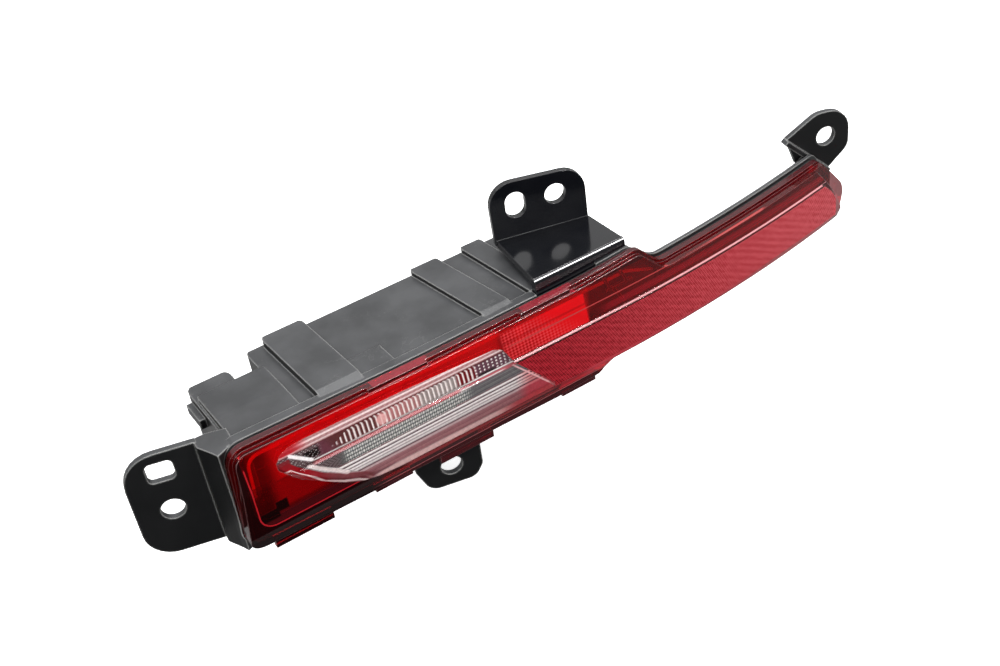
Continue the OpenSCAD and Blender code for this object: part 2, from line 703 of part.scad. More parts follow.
// Small clip at the right end of the tray's upper rim
module end_clip() {
    right = lens_right - 25.5;
    color([0.8, 0.25, 0.25]) lens_frame()
        intersection() {
            block(right - 9, right, -far, far, tail_top - band_tail - 7.5, tail_top - band_tail - 1.3);
            slab(tray_v - clip_t, tray_v);
        }
}

// Housing: rim, rear body, tail pan, ears and webs in one moulding
module housing() {
    color([0.16, 0.165, 0.17]) {
        difference() {
            union() {
                lens_frame() {
                    lens_rim();
                    rear_body();
                    tail_pan();
                }
                difference() {
                    union() {
                        left_ear();
                        right_ear();
                    }
                    lens_frame() lens_room();
                }
                low_ear();
            }
            lens_frame() mouth_cut();
            lens_frame() rim_hollow();
            lens_frame() body_hollow();
            lens_frame() left_box_hollow();
            lens_frame() pan_hollow();
            lens_frame() skirt_pocket();
            lens_frame() holder_cut(reverse_u);
            lens_frame() holder_cut(fog_u);
            lens_frame() depth_rod(vent_u, bulb_z, vent_bore, deck_back - wall - over, seat_v + over);
            ear_bore();
            translate([-locate_w / 2, -over, locate_z - locate_h / 2]) locating_hole();
            translate([right_x, right_y, right_z]) ear_bore();
            translate([low_x, low_y, low_z]) ear_bore();
        }
    }
}

// Room for the lens, which the ears are trimmed to
module lens_room() {
    intersection() {
        prism(rounded(inset(lens_outline, -fit)), -far, far);
        slab(-far, rim_v + lip_t / 2);
    }
}

module lens_rim() {
    intersection() {
        prism(rounded(rim_outline), -far, far);
        union() {
            slab(rim_v, rim_v + lip_t);
            slab(rim_v, deck_v, -far, far, 0, body_right);
        }
    }
    intersection() {
        prism(rounded(inset(lens_outline, 1.5)), -far, far);
        slab(rim_v + 0.5, deck_v, -far, far, body_right - over);
    }
}

// Stepped boxes behind the rim. Each is a line of v and z along the top, from front to rear
module rear_body() {
    top = deck_z;
    back = deck_back;
    raised = deck_z + block_h;
    front = deck_v - over;
    // Left box with its fold, and the lower box behind it
    box_part(box_left, lens_left + 40, [[front, top], [deck_v + 16.6, top + 0.3], [back - 13.5, top - 0.7]], 3);
    box_part(lens_left + 8, lens_left + 27.4, [[front, top - 3], [back - 3.4, top - 2]], 5);
    block(lens_left + 5.2, lens_left + 10, back - 24, back - 10, top - 10, top - 5.5);
    // Second step
    box_part(lens_left + 37.8, lens_left + 48.5, [[front, top - 0.8], [back + 0.5, top - 0.8]], 4);
    // Raised block and its lower shelf
    box_part(lens_left + 45.9, lens_left + 65.8, [[deck_v - 3.2, top + 1.2], [deck_v + 1, raised],
        [back + 0.8, raised]], 4, 1.6);
    box_part(lens_left + 64, lens_left + 83.5, [[front + 1, top + 0.9], [deck_v + 14, top + 0.9]], 1);
    // Deck
    box_part(lens_left + 60, body_right, [[front, top], [back, top]], 2);
    // Bosses for the two bulb holders and the vent
    for (u = [reverse_u, fog_u]) depth_rod(u, bulb_z, holder_flange + 2, back - over, seat_v);
    depth_rod(vent_u, bulb_z, vent_d + 2, back - over, seat_v);
    // Two ribs across the deck, which lean to the right at the front
    box_part(lens_left + 120.8, lens_left + 135.2, [[deck_v - 3.2, top + 1], [deck_v + 1, raised - 0.6],
        [back + 1.2, raised - 0.6]], 3, 6.5);
    box_part(lens_left + 147.6, lens_left + 158.6, [[front, raised - 0.6], [back + 0.6, raised - 0.6]], 3, 4);
}

// One box of the rear body, from its top line down to the bottom, with a rounded rear edge. Its sides lean to
// the right at the front
module box_part(u0, u1, line, r, lean = 0) {
    last = line[len(line) - 1];
    section = concat([[line[0][0], body_bottom, 0.1]], [[last[0], body_bottom, 3]],
        [[last[0], last[1], 1.6]], [for (i = [len(line) - 2:-1:0]) [line[i][0], line[i][1], 0.1]]);
    intersection() {
        ridge(u0, u1 + lean, rounded(section, 4));
        translate([0, 0, body_bottom - over]) linear_extrude(far)
            polygon(rounded([[u0 + lean, line[0][0] - over, 0.1], [u1 + lean, line[0][0] - over, 0.1],
                [u1, last[0], r], [u0, last[0], r]], 4));
    }
}

// Shallow pan behind the tail
pan_low = tail_bottom + 4;
pan_top = tail_top - 8;
module tail_pan() {
    intersection() {
        swept([[deck_v - over, pan_low], [deck_v + pan_d - 3, pan_low], [deck_v + pan_d, pan_low + 4],
            [deck_v + pan_d, pan_top - 5], [deck_v + pan_d - 4, pan_top], [deck_v - over, pan_top + 3]],
            body_right - 4);
        prism(rounded(inset(lens_outline, 3)), -far, far);
    }
}

// Mouth of the housing, which the bezel fills
module mouth_cut() {
    intersection() {
        prism(rounded(inset(lens_outline, wall)), -far, far);
        slab(rim_v - over, ledge_v);
    }
}

// Hollow behind the bezel, for the tray's rim
module rim_hollow() {
    intersection() {
        prism(rounded(inset(lens_outline, wall + ledge_w)), -far, far);
        slab(ledge_v - over, floor_v);
    }
}

// Hollows of the stepped boxes
module body_hollow() {
    low = body_bottom + wall;
    block(lens_left + 37.8 + wall, body_right - wall, floor_v - over, deck_back - wall, low, deck_z - wall - 1.2);
    block(lens_left + 50.2, lens_left + 63.3, deck_v + 2, deck_back + 0.8 - wall, low + 4, deck_z + block_h - wall);
}
module left_box_hollow() {
    block(box_left + wall, lens_left + 37.8 + wall + over, floor_v - over / 2, deck_back - 13.5 - wall,
        body_bottom + wall + 0.2, deck_z - 0.9 - wall);
}

// Hollow of the tail's pan
module pan_hollow() {
    swept([[ledge_v - over / 2, pan_low + wall], [deck_v + pan_d - 3 - wall / 2, pan_low + wall],
        [deck_v + pan_d - wall, pan_low + 4 + wall / 2], [deck_v + pan_d - wall, pan_top - 5 - wall / 2],
        [deck_v + pan_d - 4 - wall / 2, pan_top - wall], [ledge_v - over / 2, pan_top - wall]],
        body_right - 6, lens_right - 12);
}

// Pocket for the tongue under the bracket's skirt
module skirt_pocket() {
    block(skirt_left - fit, tongue_right + fit, rim_v - over, skirt_v + bracket_t + fit, skirt_z, far);
}

// Bores for the two bulb holders with their bayonet notches, and the vent's bore
module holder_cut(u) {
    depth_rod(u, bulb_z, holder_bore, deck_back - wall - over, seat_v + over);
    for (a = [30, 150, 270])
        translate([u, 0, bulb_z]) rotate([0, a, 0])
            block(0, bayonet_r + fit, deck_back - wall - over, seat_v + over, -bayonet_w / 2 - fit,
                bayonet_w / 2 + fit);
}

// Left ear, its chamfered web and the wall that joins it to the rim, in the lamp's frame
web_front = -12.4;
web_right = 27.5;
module left_ear() {
    outline = [[ear_left, ear_top, 14], [ear_left, ear_bottom, 13], [17, ear_bottom, 1.5], [17, ear_top, 1.5]];
    prism(rounded(outline), 0, ear_t);
    difference() {
        translate([0, 0, ear_bottom]) linear_extrude(lens_top - 0.8 - ear_bottom)
            polygon([[15.8, 0], [16.4, -3.2], [21.4, -9.4], [web_right - 4, web_front], [web_right + 3, web_front + 6],
                [web_right + 1.5, 3.6], [20.6, 4.2], [15.8, ear_t]]);
        translate([0, 0, ear_bottom + ear_t]) linear_extrude(lens_top - 0.8 - ear_bottom - 2 * ear_t)
            polygon([[19, 1], [19.4, -2.4], [23.4, -7.4], [web_right - 0.4, web_front + 5.6],
                [web_right - 1.4, 8], [19, 8]]);
    }
}

// Right ear: a plate with a round end, and a slanted ledge along its lower left edge, joined to the rim's end
module right_ear() {
    line_a = [right_x - 22, right_z + 3.4];
    line_b = [right_x + 1.6, right_z - 18.4];
    dir = unit(line_b - line_a);
    out = turn(dir);
    prism(rounded([[line_b[0], line_b[1], 0.5], [right_x + right_r, right_z - 8.4, 8],
        [right_x + right_r, right_z + right_r, right_r - 1], [right_x - 5, right_z + right_r + 0.6, 11],
        [line_a[0], line_a[1], 1]]), right_y, right_y + ear_t);
    prism([line_a + out * 0.7, line_b + out * 0.7, line_b - out * 1.8, line_a - out * 1.8], right_y - 2.4,
        right_y + ear_t - 0.3);
    // Root behind the rim and gusset over the tail
    prism([line_a + dir * 15 + out, line_b + out, line_b - out * 6, line_a + dir * 14 - out * 6], right_y + 0.2,
        right_y + ear_t - 0.5);
    prism([line_a + dir, line_a + dir * 17, [right_x - 10, tail_top - 4], [right_x - 16.5, tail_top - 4]],
        right_y + 0.4, right_y + ear_t - 0.7);
}

// Bottom ear: a plate with rounded corners under the rear body, with a rib behind each side
module low_ear() {
    low = low_z - low_edge;
    left = low_x - low_w * 0.54;
    right = left + low_w;
    prism(rounded([[left, body_bottom + 1.4, 1], [left, low_z + 2, 6], [left + 5.5, low, 7],
        [right - 4, low + 0.6, 6], [right, low + 7, 6], [right, body_bottom + 1.4, 1]]), low_y, low_y + ear_t);
    for (x = [left + 0.4, right - ear_t - 0.4])
        translate([x, low_y, 0]) rotate([90, 0, 90]) linear_extrude(ear_t)
            polygon([[0.5, low_z + 10], [ear_t, low_z + 10], [9, body_bottom + 2], [0.5, body_bottom + 2]]);
}

module ear_bore() {
    translate([0, -over, 0]) rotate([-90, 0, 0]) cylinder(d = hole_d, h = ear_t + 2 * over);
}

// Rectangular hole with round corners
module locating_hole() {
    prism([for (p = rounded([[0, 0, 2.4], [locate_w, 0, 2.4], [locate_w, locate_h, 2.4], [0, locate_h, 2.4]])) p],
        0, ear_t + 2 * over);
}

// Top bracket: tab, plate and skirt, with a web under the plate's left edge
skirt_v = -lens_back + skirt_in;
tongue_right = tail_u + 3;
hump_z = top_low + hump_h;
module top_bracket() {
    front_left = lens_to_lamp(skirt_left + 0.3, skirt_v + bracket_t / 2);
    front_right = lens_to_lamp(skirt_right - 0.3, skirt_v + bracket_t / 2);
    color([0.04, 0.04, 0.045]) {
        difference() {
            prism(rounded([[tab_left + 0.5, plate_z - bracket_t + 0.4, 0.5], [tab_right, plate_z - bracket_t + 0.4, 0.5],
                [tab_right, tab_top - 1.2, 11], [tab_left, tab_top + 1, 11]]), tab_y, tab_y + bracket_t);
            translate([tab_hole_x, tab_y, tab_hole_z]) ear_bore();
            for (dz = [-1, 1]) translate([slot_x, tab_y - over, tab_hole_z - 0.2 + dz * (slot_h - slot_w) / 2])
                rotate([-90, 0, 0]) cylinder(d = slot_w, h = bracket_t + 2 * over);
            translate([slot_x - slot_w / 2, tab_y - over, tab_hole_z - 0.2 - (slot_h - slot_w) / 2])
                cube([slot_w, bracket_t + 2 * over, slot_h - slot_w]);
        }
        translate([0, 0, plate_z - bracket_t]) linear_extrude(bracket_t)
            polygon([front_left, front_right, [tab_right - 0.4, tab_y + bracket_t - 0.6],
                [tab_left + 0.9, tab_y + bracket_t - 0.6]]);
        lens_frame() difference() {
            ridge(skirt_left, skirt_right, rounded([[skirt_v, skirt_z + fit, 0.3],
                [skirt_v + bracket_t, skirt_z + fit, 0.3], [skirt_v + bracket_t, plate_z - 1, 0.3],
                [skirt_v + bracket_t - 0.5, plate_z, 0.3], [skirt_v, plate_z, 2.1]]));
            block(tongue_right, skirt_right + over, skirt_v - over, skirt_v + bracket_t + over, skirt_z - over,
                hump_z + fit);
        }
        side_web(front_left);
    }
}

// Web under the left edge of the plate, deep at the skirt and running out at the tab
module side_web(start) {
    edge = [tab_left + 0.5, tab_y] - start;
    reach = norm(edge) - 1;
    deep = plate_z - bracket_t - deck_z - block_h + 0.6 - fit;
    translate([start[0], start[1], plate_z - bracket_t]) rotate([90, 0, atan2(edge[1], edge[0])])
        translate([0, 0, 0.3]) linear_extrude(bracket_t)
            polygon(concat([[1, 0.5], [reach, 0.5]], [for (a = [80:-10:0])
                [1 + (reach - 1) * (1 - cos(a)) * 0.9 + 1.5, -deep * (1 - sin(a))]], [[1, -deep]]));
}

// Bulb: glass with a rounded nose and a flat pinched base
module bulb(u) {
    start = deck_back - wall - plug_l / 2 - fit - glass_l;
    lens_frame() translate([u, start, bulb_z]) rotate([-90, 0, 0]) {
        rotate_extrude() polygon(concat([for (a = [0:10:90]) [glass_d / 2 * sin(a), glass_d / 2 * (1 - cos(a))]],
            [[glass_d / 2, glass_l - 4], [glass_d / 2 - 2.5, glass_l], [0, glass_l]]));
        translate([-6.5, -1.6, glass_l - 0.5]) cube([13, 3.2, 7]);
    }
}

// Bulb holder: plug with a slot for the bulb's base, bayonet lugs, flange, grip and connector shroud
module bulb_holder(u) {
    back = seat_v + holder_seal_t;
    lens_frame() translate([u, 0, bulb_z]) {
        difference() {
            union() {
                depth_rod(0, 0, holder_bore - 2 * fit, deck_back - wall - plug_l / 2, back + over);
                depth_rod(0, 0, holder_flange, back, back + flange_t);
                for (a = [30, 150, 270]) rotate([0, a, 0])
                    block(0, bayonet_r, deck_back - wall - 2.4, deck_back - wall - fit, -bayonet_w / 2, bayonet_w / 2);
                block(-shroud_w / 2, shroud_w / 2, back, back + flange_t + shroud_l, -shroud_h / 2, shroud_h / 2);
                for (side = [-1, 1]) block(side * holder_flange / 2 * 0.72 - 1.5, side * holder_flange / 2 * 0.72 + 1.5,
                    back, back + flange_t + 6, -7, 7);
                block(-3, 3, back + flange_t + 2, back + flange_t + 6, shroud_h / 2 - over, shroud_h / 2 + 2);
            }
            block(-shroud_w / 2 + shroud_wall, shroud_w / 2 - shroud_wall, back + flange_t,
                back + flange_t + shroud_l + over, -shroud_h / 2 + shroud_wall, shroud_h / 2 - shroud_wall);
            block(-6.5 - fit, 6.5 + fit, 0, deck_back - wall + 4, -1.6 - fit, 1.6 + fit);
            for (side = [-1, 1])
                block(side * pin_pitch / 2 - pin_w / 2, side * pin_pitch / 2 + pin_w / 2, deck_back - wall + 3,
                    back + flange_t + over, -pin_t / 2, pin_t / 2);
        }
    }
}

// Seal ring between a holder's flange and the housing's rear wall
module holder_seal(u) {
    lens_frame() difference() {
        depth_rod(u, bulb_z, holder_flange - 1, seat_v, seat_v + holder_seal_t);
        depth_rod(u, bulb_z, holder_bore + 2 * bayonet_in, seat_v - over, seat_v + holder_seal_t + over);
    }
}

// Two flat contact pins through a holder's floor
module terminals(u) {
    back = seat_v + holder_seal_t;
    lens_frame() for (side = [-1, 1])
        translate([u + side * pin_pitch / 2, 0, bulb_z])
            block(-pin_w / 2, pin_w / 2, deck_back - wall + 4, back + flange_t + shroud_l - 5, -pin_t / 2, pin_t / 2);
}

module reverse_bulb() {
    color([0.85, 0.9, 0.95]) bulb(reverse_u);
}
module reverse_bulb_holder() {
    color([0.12, 0.12, 0.12]) bulb_holder(reverse_u);
}
module reverse_holder_seal() {
    color([0.3, 0.05, 0.05]) holder_seal(reverse_u);
}
module reverse_terminals() {
    color([0.75, 0.65, 0.35]) terminals(reverse_u);
}
module fog_bulb() {
    color([0.85, 0.9, 0.95]) bulb(fog_u);
}
module fog_bulb_holder() {
    color([0.12, 0.12, 0.12]) bulb_holder(fog_u);
}
module fog_holder_seal() {
    color([0.3, 0.05, 0.05]) holder_seal(fog_u);
}
module fog_terminals() {
    color([0.75, 0.65, 0.35]) terminals(fog_u);
}

// Vent: a thin breathing disc over the bore, under a slotted cap
membrane_t = 0.5;
module vent_membrane() {
    color([0.9, 0.9, 0.88]) lens_frame() depth_rod(vent_u, bulb_z, vent_d - 4, seat_v, seat_v + membrane_t);
}
module vent_cap() {
    cap_h = 5;
    color([0.1, 0.1, 0.1]) lens_frame() difference() {
        depth_rod(vent_u, bulb_z, vent_d, seat_v, seat_v + cap_h);
        depth_rod(vent_u, bulb_z, vent_d - 3, seat_v - over, seat_v + cap_h - 1.5);
        for (a = [0, 60, 120]) translate([vent_u, 0, bulb_z]) rotate([0, a, 0])
            block(-vent_d, vent_d, seat_v + 2, seat_v + 3.2, -1, 1);
    }
}

housing();
top_bracket();
outer_lens();
clear_window();
reflex_plate();
lens_seal();
bezel();
reflector_tray();
tail_strip();
tray_clips();
end_clip();
reverse_bulb();
reverse_bulb_holder();
reverse_holder_seal();
reverse_terminals();
fog_bulb();
fog_bulb_holder();
fog_holder_seal();
fog_terminals();
vent_cap();
vent_membrane();
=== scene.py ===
import bpy
import math
from mathutils import Matrix, Vector


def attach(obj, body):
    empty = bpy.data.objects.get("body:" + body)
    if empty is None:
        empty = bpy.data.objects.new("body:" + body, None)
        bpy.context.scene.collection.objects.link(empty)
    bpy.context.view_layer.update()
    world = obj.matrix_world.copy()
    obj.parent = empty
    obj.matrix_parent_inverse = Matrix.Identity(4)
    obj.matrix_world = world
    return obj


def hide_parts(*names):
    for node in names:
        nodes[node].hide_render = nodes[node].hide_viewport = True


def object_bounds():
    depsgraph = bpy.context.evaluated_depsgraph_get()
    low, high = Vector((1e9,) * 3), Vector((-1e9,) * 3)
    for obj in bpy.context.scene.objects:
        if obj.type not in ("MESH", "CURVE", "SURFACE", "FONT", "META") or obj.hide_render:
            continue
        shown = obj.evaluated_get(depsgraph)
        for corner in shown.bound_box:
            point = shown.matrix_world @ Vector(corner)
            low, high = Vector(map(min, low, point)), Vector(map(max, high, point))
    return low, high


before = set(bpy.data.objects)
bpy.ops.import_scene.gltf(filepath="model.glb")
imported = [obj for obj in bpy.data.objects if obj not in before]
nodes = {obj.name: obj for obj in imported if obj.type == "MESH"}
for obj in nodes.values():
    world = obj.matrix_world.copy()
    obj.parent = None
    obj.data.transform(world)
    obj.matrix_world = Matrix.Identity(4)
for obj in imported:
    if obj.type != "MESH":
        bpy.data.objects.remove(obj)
cad_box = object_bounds()

# Lens frame, in millimetres: u along the lens line, v to the rear, z up. SWEEP turns it about +Z from the
# lamp's frame. Beyond TAIL_U the line bends along an arc with its centre at ARC_V.
SWEEP = math.radians(15.5)
TAIL_U, ARC_V = 200.0, 777.5
# Crease along the lens, front of the raised blade under it, and the lens's wall
CREASE_V, CREASE_Z, BLADE_V, WALL = -26.3, 10.6, -27.5, 2.5
# Lens front as a section of v and z, with its slopes over the crease and under the low bend
FACE = [(-22.5, -20.8), (-25.0, -14.5), (-26.3, -11.5), (-26.3, 10.6), (-18.27, 50.3)]
LOW_BEND_Z, UPPER_SLOPE, LOWER_SLOPE = -11.5, 0.2023, 0.41
# Outline of the window: u and z of its top and low edges
WINDOW_TOP = [(38.5, 17.5), (41.0, 20.3), (45.0, 21.8), (51.5, 22.2), (96.0, 21.5), (141.5, 19.5),
              (145.5, 17.7), (149.5, 10.0), (169.5, -12.5)]
WINDOW_LOW = [(38.5, 14.5), (40.0, 12.6), (43.0, 9.6), (46.0, 6.8), (52.0, 2.2), (58.0, -2.2), (64.0, -6.2),
              (70.0, -9.2), (78.0, -11.0), (88.0, -11.8), (170.0, -12.5)]
# Gap between the window and the lens around it, and where the window's right tip ends
WINDOW_GAP, WINDOW_RIGHT = 0.1, 167.4
# Window optics, which are painted light and shade: low edge of the field, colours of painted refracted light
# between the strokes along u, pitch of the strokes, heights of the stripes with the strength of their painted
# highlights, and the top of the plain low field
RIM_LOW = [(42.2, 11.5), (45.2, 8.2), (55.2, -1.0), (62.9, -6.0), (72.5, -10.6), (75.2, -12.4), (170.0, -13.6)]
GAPS = [(60, (84, 46, 46)), (81, (90, 50, 50)), (84, (168, 108, 106)), (102, (160, 110, 108)),
        (104, (140, 128, 124)), (120.5, (145, 136, 132)), (122.5, (105, 20, 25)), (129.5, (95, 22, 28)),
        (131.5, (90, 60, 70))]
STROKE_PITCH = 2.1
STRIPES = [(13.4, 1.0), (11.5, 1.0), (9.9, 0.95), (8.5, 0.85), (6.7, 0.5)]
PLAIN_TOP = 2.6
# Brightness and cover of the window's painted light and shade, on its inner face and on its rim
WINDOW_GAIN, WINDOW_COVER, RIM_COVER = 1.2, 0.94, 0.9
# How far a point seen from the photograph's angle moves along u and down in z with each millimetre of depth
SHIFT_U, SHIFT_Z = 0.54, 0.813


# Numbers and colours
def lookup(x, table):
    if x <= table[0][0]:
        return table[0][1]
    for (x0, y0), (x1, y1) in zip(table, table[1:]):
        if x <= x1:
            return y0 + (y1 - y0) * (x - x0) / (x1 - x0)
    return table[-1][1]


def step(x, lo, hi):
    """0 below lo, 1 above hi and smooth between."""
    t = min(1.0, max(0.0, (x - lo) / (hi - lo)))
    return t * t * (3 - 2 * t)


def ridge(x, at, wide, soft=0.2):
    """1 on a line of some width and 0 away from it."""
    return 1 - step(abs(x - at), wide / 2 - soft / 2, wide / 2 + soft)


def blend(a, b, t):
    return tuple(p + (q - p) * t for p, q in zip(a, b))


def pick(x, table):
    """Colour at x in a table of places and colours."""
    return tuple(lookup(x, [(a, c[k]) for a, c in table]) for k in range(3))


def tone(red, green, blue, gain=1.0):
    """A colour as it shows, 0 to 255, as a base colour."""
    return tuple(gain * (c / 255) ** 2.2 for c in (red, green, blue))


# Node helpers
def new_material(name):
    m = bpy.data.materials.new(name)
    m.use_nodes = True
    m.node_tree.nodes.clear()
    return m


class Net:
    """Short calls for a node tree."""

    def __init__(self, tree):
        self.t = tree

    def node(self, kind, _inputs=None, **settings):
        n = self.t.nodes.new(kind)
        for k, v in settings.items():
            setattr(n, k, v)
        for k, v in (_inputs or {}).items():
            if isinstance(v, bpy.types.NodeSocket):
                self.t.links.new(v, n.inputs[k])
            else:
                n.inputs[k].default_value = v
        return n

    def math(self, op, a, b=0.0, clamp=False):
        return self.node("ShaderNodeMath", {0: a, 1: b}, operation=op, use_clamp=clamp).outputs[0]

    def add(self, a, b):
        return self.math("ADD", a, b)

    def sub(self, a, b):
        return self.math("SUBTRACT", a, b)

    def mul(self, a, b):
        return self.math("MULTIPLY", a, b)

    def mix(self, fac, a, b):
        n = self.t.nodes.new("ShaderNodeMix")
        n.data_type = "RGBA"
        for k, v in ((0, fac), (6, a), (7, b)):
            if isinstance(v, bpy.types.NodeSocket):
                self.t.links.new(v, n.inputs[k])
            else:
                n.inputs[k].default_value = v if k == 0 else (*v, 1)
        return n.outputs[2]

    def ramp(self, fac, stops):
        n = self.node("ShaderNodeValToRGB", {0: fac})
        el = n.color_ramp.elements
        while len(el) < len(stops):
            el.new(0.5)
        for e, (p, c) in zip(el, stops):
            e.position = p
            e.color = (*c, 1) if isinstance(c, tuple) else (c, c, c, 1)
        return n.outputs[0]

    def noise(self, scale, detail, vector, rough=0.5):
        return self.node("ShaderNodeTexNoise", {"Scale": scale, "Detail": detail, "Roughness": rough,
                                                "Vector": vector}).outputs["Fac"]

    def object_space(self):
        return self.node("ShaderNodeTexCoord").outputs["Object"]

    def lens_space(self):
        """Object coordinates turned so that x runs along the lens line."""
        return self.node("ShaderNodeMapping", {"Vector": self.object_space(),
                                               "Rotation": (0, 0, -SWEEP)}).outputs[0]

    def split(self, vector):
        return self.node("ShaderNodeSeparateXYZ", {0: vector}).outputs

    def facing_up(self):
        """The upward share of the surface's normal."""
        return self.split(self.node("ShaderNodeNewGeometry").outputs["Normal"])[2]

    def edge(self, radius, gain):
        """1 along sharp edges and 0 on flat faces."""
        g = self.node("ShaderNodeNewGeometry")
        d = self.node("ShaderNodeVectorMath", {0: self.bevel(radius), 1: g.outputs["Normal"]},
                      operation="DOT_PRODUCT")
        return self.math("MULTIPLY", self.sub(1.0, d.outputs["Value"]), gain, True)

    def bevel(self, radius):
        return self.node("ShaderNodeBevel", {"Radius": radius}, samples=4).outputs[0]

    def bump(self, strength, distance, height, bevel):
        return self.node("ShaderNodeBump", {"Strength": strength, "Distance": distance, "Height": height,
                                            "Normal": self.bevel(bevel)}).outputs[0]

    def mix_shader(self, fac, a, b):
        return self.node("ShaderNodeMixShader", {0: fac, 1: a, 2: b}).outputs[0]

    def out(self, shader):
        self.node("ShaderNodeOutputMaterial", {0: shader})

    def bent(self):
        """Lens coordinates in millimetres with the tail's curve straightened out: u, v and z."""
        x, y, z = (self.mul(c, 1000.0) for c in self.split(self.lens_space()))
        across, ahead = self.sub(x, TAIL_U), self.sub(ARC_V, y)
        reach = self.math("SQRT", self.add(self.mul(across, across), self.mul(ahead, ahead)))
        arc = self.mul(self.math("ARCTAN2", across, ahead), reach)
        tail = self.math("GREATER_THAN", x, TAIL_U)
        u = self.add(x, self.mul(tail, self.sub(self.add(arc, TAIL_U), x)))
        v = self.add(y, self.mul(tail, self.sub(self.sub(ARC_V, reach), y)))
        return u, v, z

    def rise(self, x, at, soft):
        """0 below a value and 1 above it, with a soft change."""
        return self.node("ShaderNodeMapRange", {0: x, 1: at - soft, 2: at + soft},
                         interpolation_type="SMOOTHSTEP").outputs[0]

    def fall(self, x, at, soft):
        return self.sub(1.0, self.rise(x, at, soft))

    def band(self, x, low, high, soft):
        return self.mul(self.rise(x, low, soft), self.fall(x, high, soft))

    def both(self, *masks):
        m = masks[0]
        for other in masks[1:]:
            m = self.mul(m, other)
        return m

    def centred(self, x, pitch):
        """Distance from the middle of a repeated cell, as a share of its pitch."""
        return self.math("ABSOLUTE", self.sub(self.math("FRACT", self.math("DIVIDE", x, pitch)), 0.5))

    def layer(self, state, mask, colour, cover):
        """Lays a colour with its cover over a pair of colour and cover."""
        keep = self.mul(state[1], self.sub(1.0, mask))
        return self.mix(mask, state[0], colour), self.add(keep, self.mul(mask, cover))


# Materials
def plastic(name, dark, light, rough, spread=0.08, painted_edge_highlight=None, grain=0.00003, bevel=0.0005, spec=0.5,
            coat=0.0, painted_upright_shade=None):
    """Moulded plastic: mottled colour, uneven gloss, fine grain, and painted highlights that make its edges
    lighter.
    Given a painted shade colour, the faces that don't face up take it and are darker, and it then also has
    light scratches on what faces up."""
    m = new_material(name)
    n = Net(m.node_tree)
    p = n.object_space()
    big = n.noise(60.0, 4, p)
    fine = n.noise(2600.0, 2, p)
    colour = n.mix(n.ramp(big, [(0.35, 0.0), (0.68, 1.0)]), dark, light)
    if painted_upright_shade:
        scratch = n.ramp(n.noise(55.0, 6, p, 0.65), [(0.492, 0.0), (0.5, 0.5), (0.508, 0.0)])
        where = n.ramp(n.noise(22.0, 2, p), [(0.5, 0.0), (0.6, 0.5)])
        colour = n.mix(n.mul(scratch, where), colour, tuple(c * 0.4 for c in painted_edge_highlight))
        # Painted shade: faces that don't face up take the darker colour
        colour = n.mix(n.rise(n.facing_up(), 0.3, 0.25), painted_upright_shade, colour)
    # Painted highlight: a lighter colour along the edges
    if painted_edge_highlight:
        colour = n.mix(n.edge(0.0011, 2.2), colour, painted_edge_highlight)
    uneven = n.add(n.mul(n.sub(big, 0.5), spread * 2), rough)
    bsdf = n.node("ShaderNodeBsdfPrincipled", {"Base Color": colour, "Roughness": uneven,
                                               "Normal": n.bump(0.35, grain, fine, bevel),
                                               "Specular IOR Level": spec, "Coat Weight": coat,
                                               "Coat Roughness": 0.05})
    n.out(bsdf.outputs[0])
    return m


def bulb_material():
    """Clear glass. Lamps shine through it, so that what is behind is lit."""
    m = new_material("bulb_glass")
    n = Net(m.node_tree)
    p = n.object_space()
    tint = (0.97, 0.98, 1.0)
    colour = n.mix(n.noise(35.0, 2, p), tint, tuple(c * 0.93 for c in tint))
    body = n.node("ShaderNodeBsdfPrincipled", {"Base Color": colour, "Roughness": 0.0, "IOR": 1.49,
                                               "Transmission Weight": 1.0,
                                               "Normal": n.bump(0.2, 0.00002, n.noise(90.0, 2, p), 0.0006)})
    clear = n.node("ShaderNodeBsdfTransparent", {"Color": (0.98, 0.98, 0.98, 1)})
    shadow = n.node("ShaderNodeLightPath").outputs["Is Shadow Ray"]
    n.out(n.mix_shader(shadow, body.outputs[0], clear.outputs[0]))
    return m


def reflex_material():
    """Red reflex plate: a fine field of prism cells with painted glints on their facets, lighter towards the
    right by a painted sheen.
    """
    m = new_material("reflex_red")
    n = Net(m.node_tree)
    p = n.lens_space()
    xyz = n.split(p)
    u, z = xyz[0], xyz[2]
    cell = 0.00115
    facet = n.add(n.mul(n.centred(n.add(u, n.mul(z, 0.5)), cell), 1.1), n.mul(n.centred(z, cell * 0.9), 0.9))
    along = n.math("DIVIDE", n.sub(u, 0.16), 0.19, True)
    wave = n.node("ShaderNodeTexWave", {"Vector": p, "Scale": 26.0, "Distortion": 1.6, "Detail": 2.0},
                  wave_type="BANDS", bands_direction="DIAGONAL").outputs["Fac"]
    shade = n.add(n.mul(facet, 0.75), n.mul(wave, 0.16))
    # Facet colours: the lighter ones are painted glints, and the right's lighter set, mixed in along u, is a
    # painted sheen
    left = n.ramp(shade, [(0.1, (0.13, 0.004, 0.008)), (0.5, (0.42, 0.03, 0.045)), (0.9, (0.85, 0.2, 0.22))])
    right = n.ramp(shade, [(0.1, (0.45, 0.02, 0.03)), (0.5, (0.85, 0.12, 0.14)), (0.9, (1.0, 0.42, 0.42))])
    colour = n.mix(n.ramp(along, [(0.2, 0.0), (0.9, 1.0)]), left, right)
    relief = n.node("ShaderNodeBump", {"Strength": 0.7, "Distance": 0.0003, "Height": facet}).outputs[0]
    bsdf = n.node("ShaderNodeBsdfPrincipled", {"Base Color": colour, "Roughness": 0.3, "Normal": relief})
    n.out(bsdf.outputs[0])
    return m


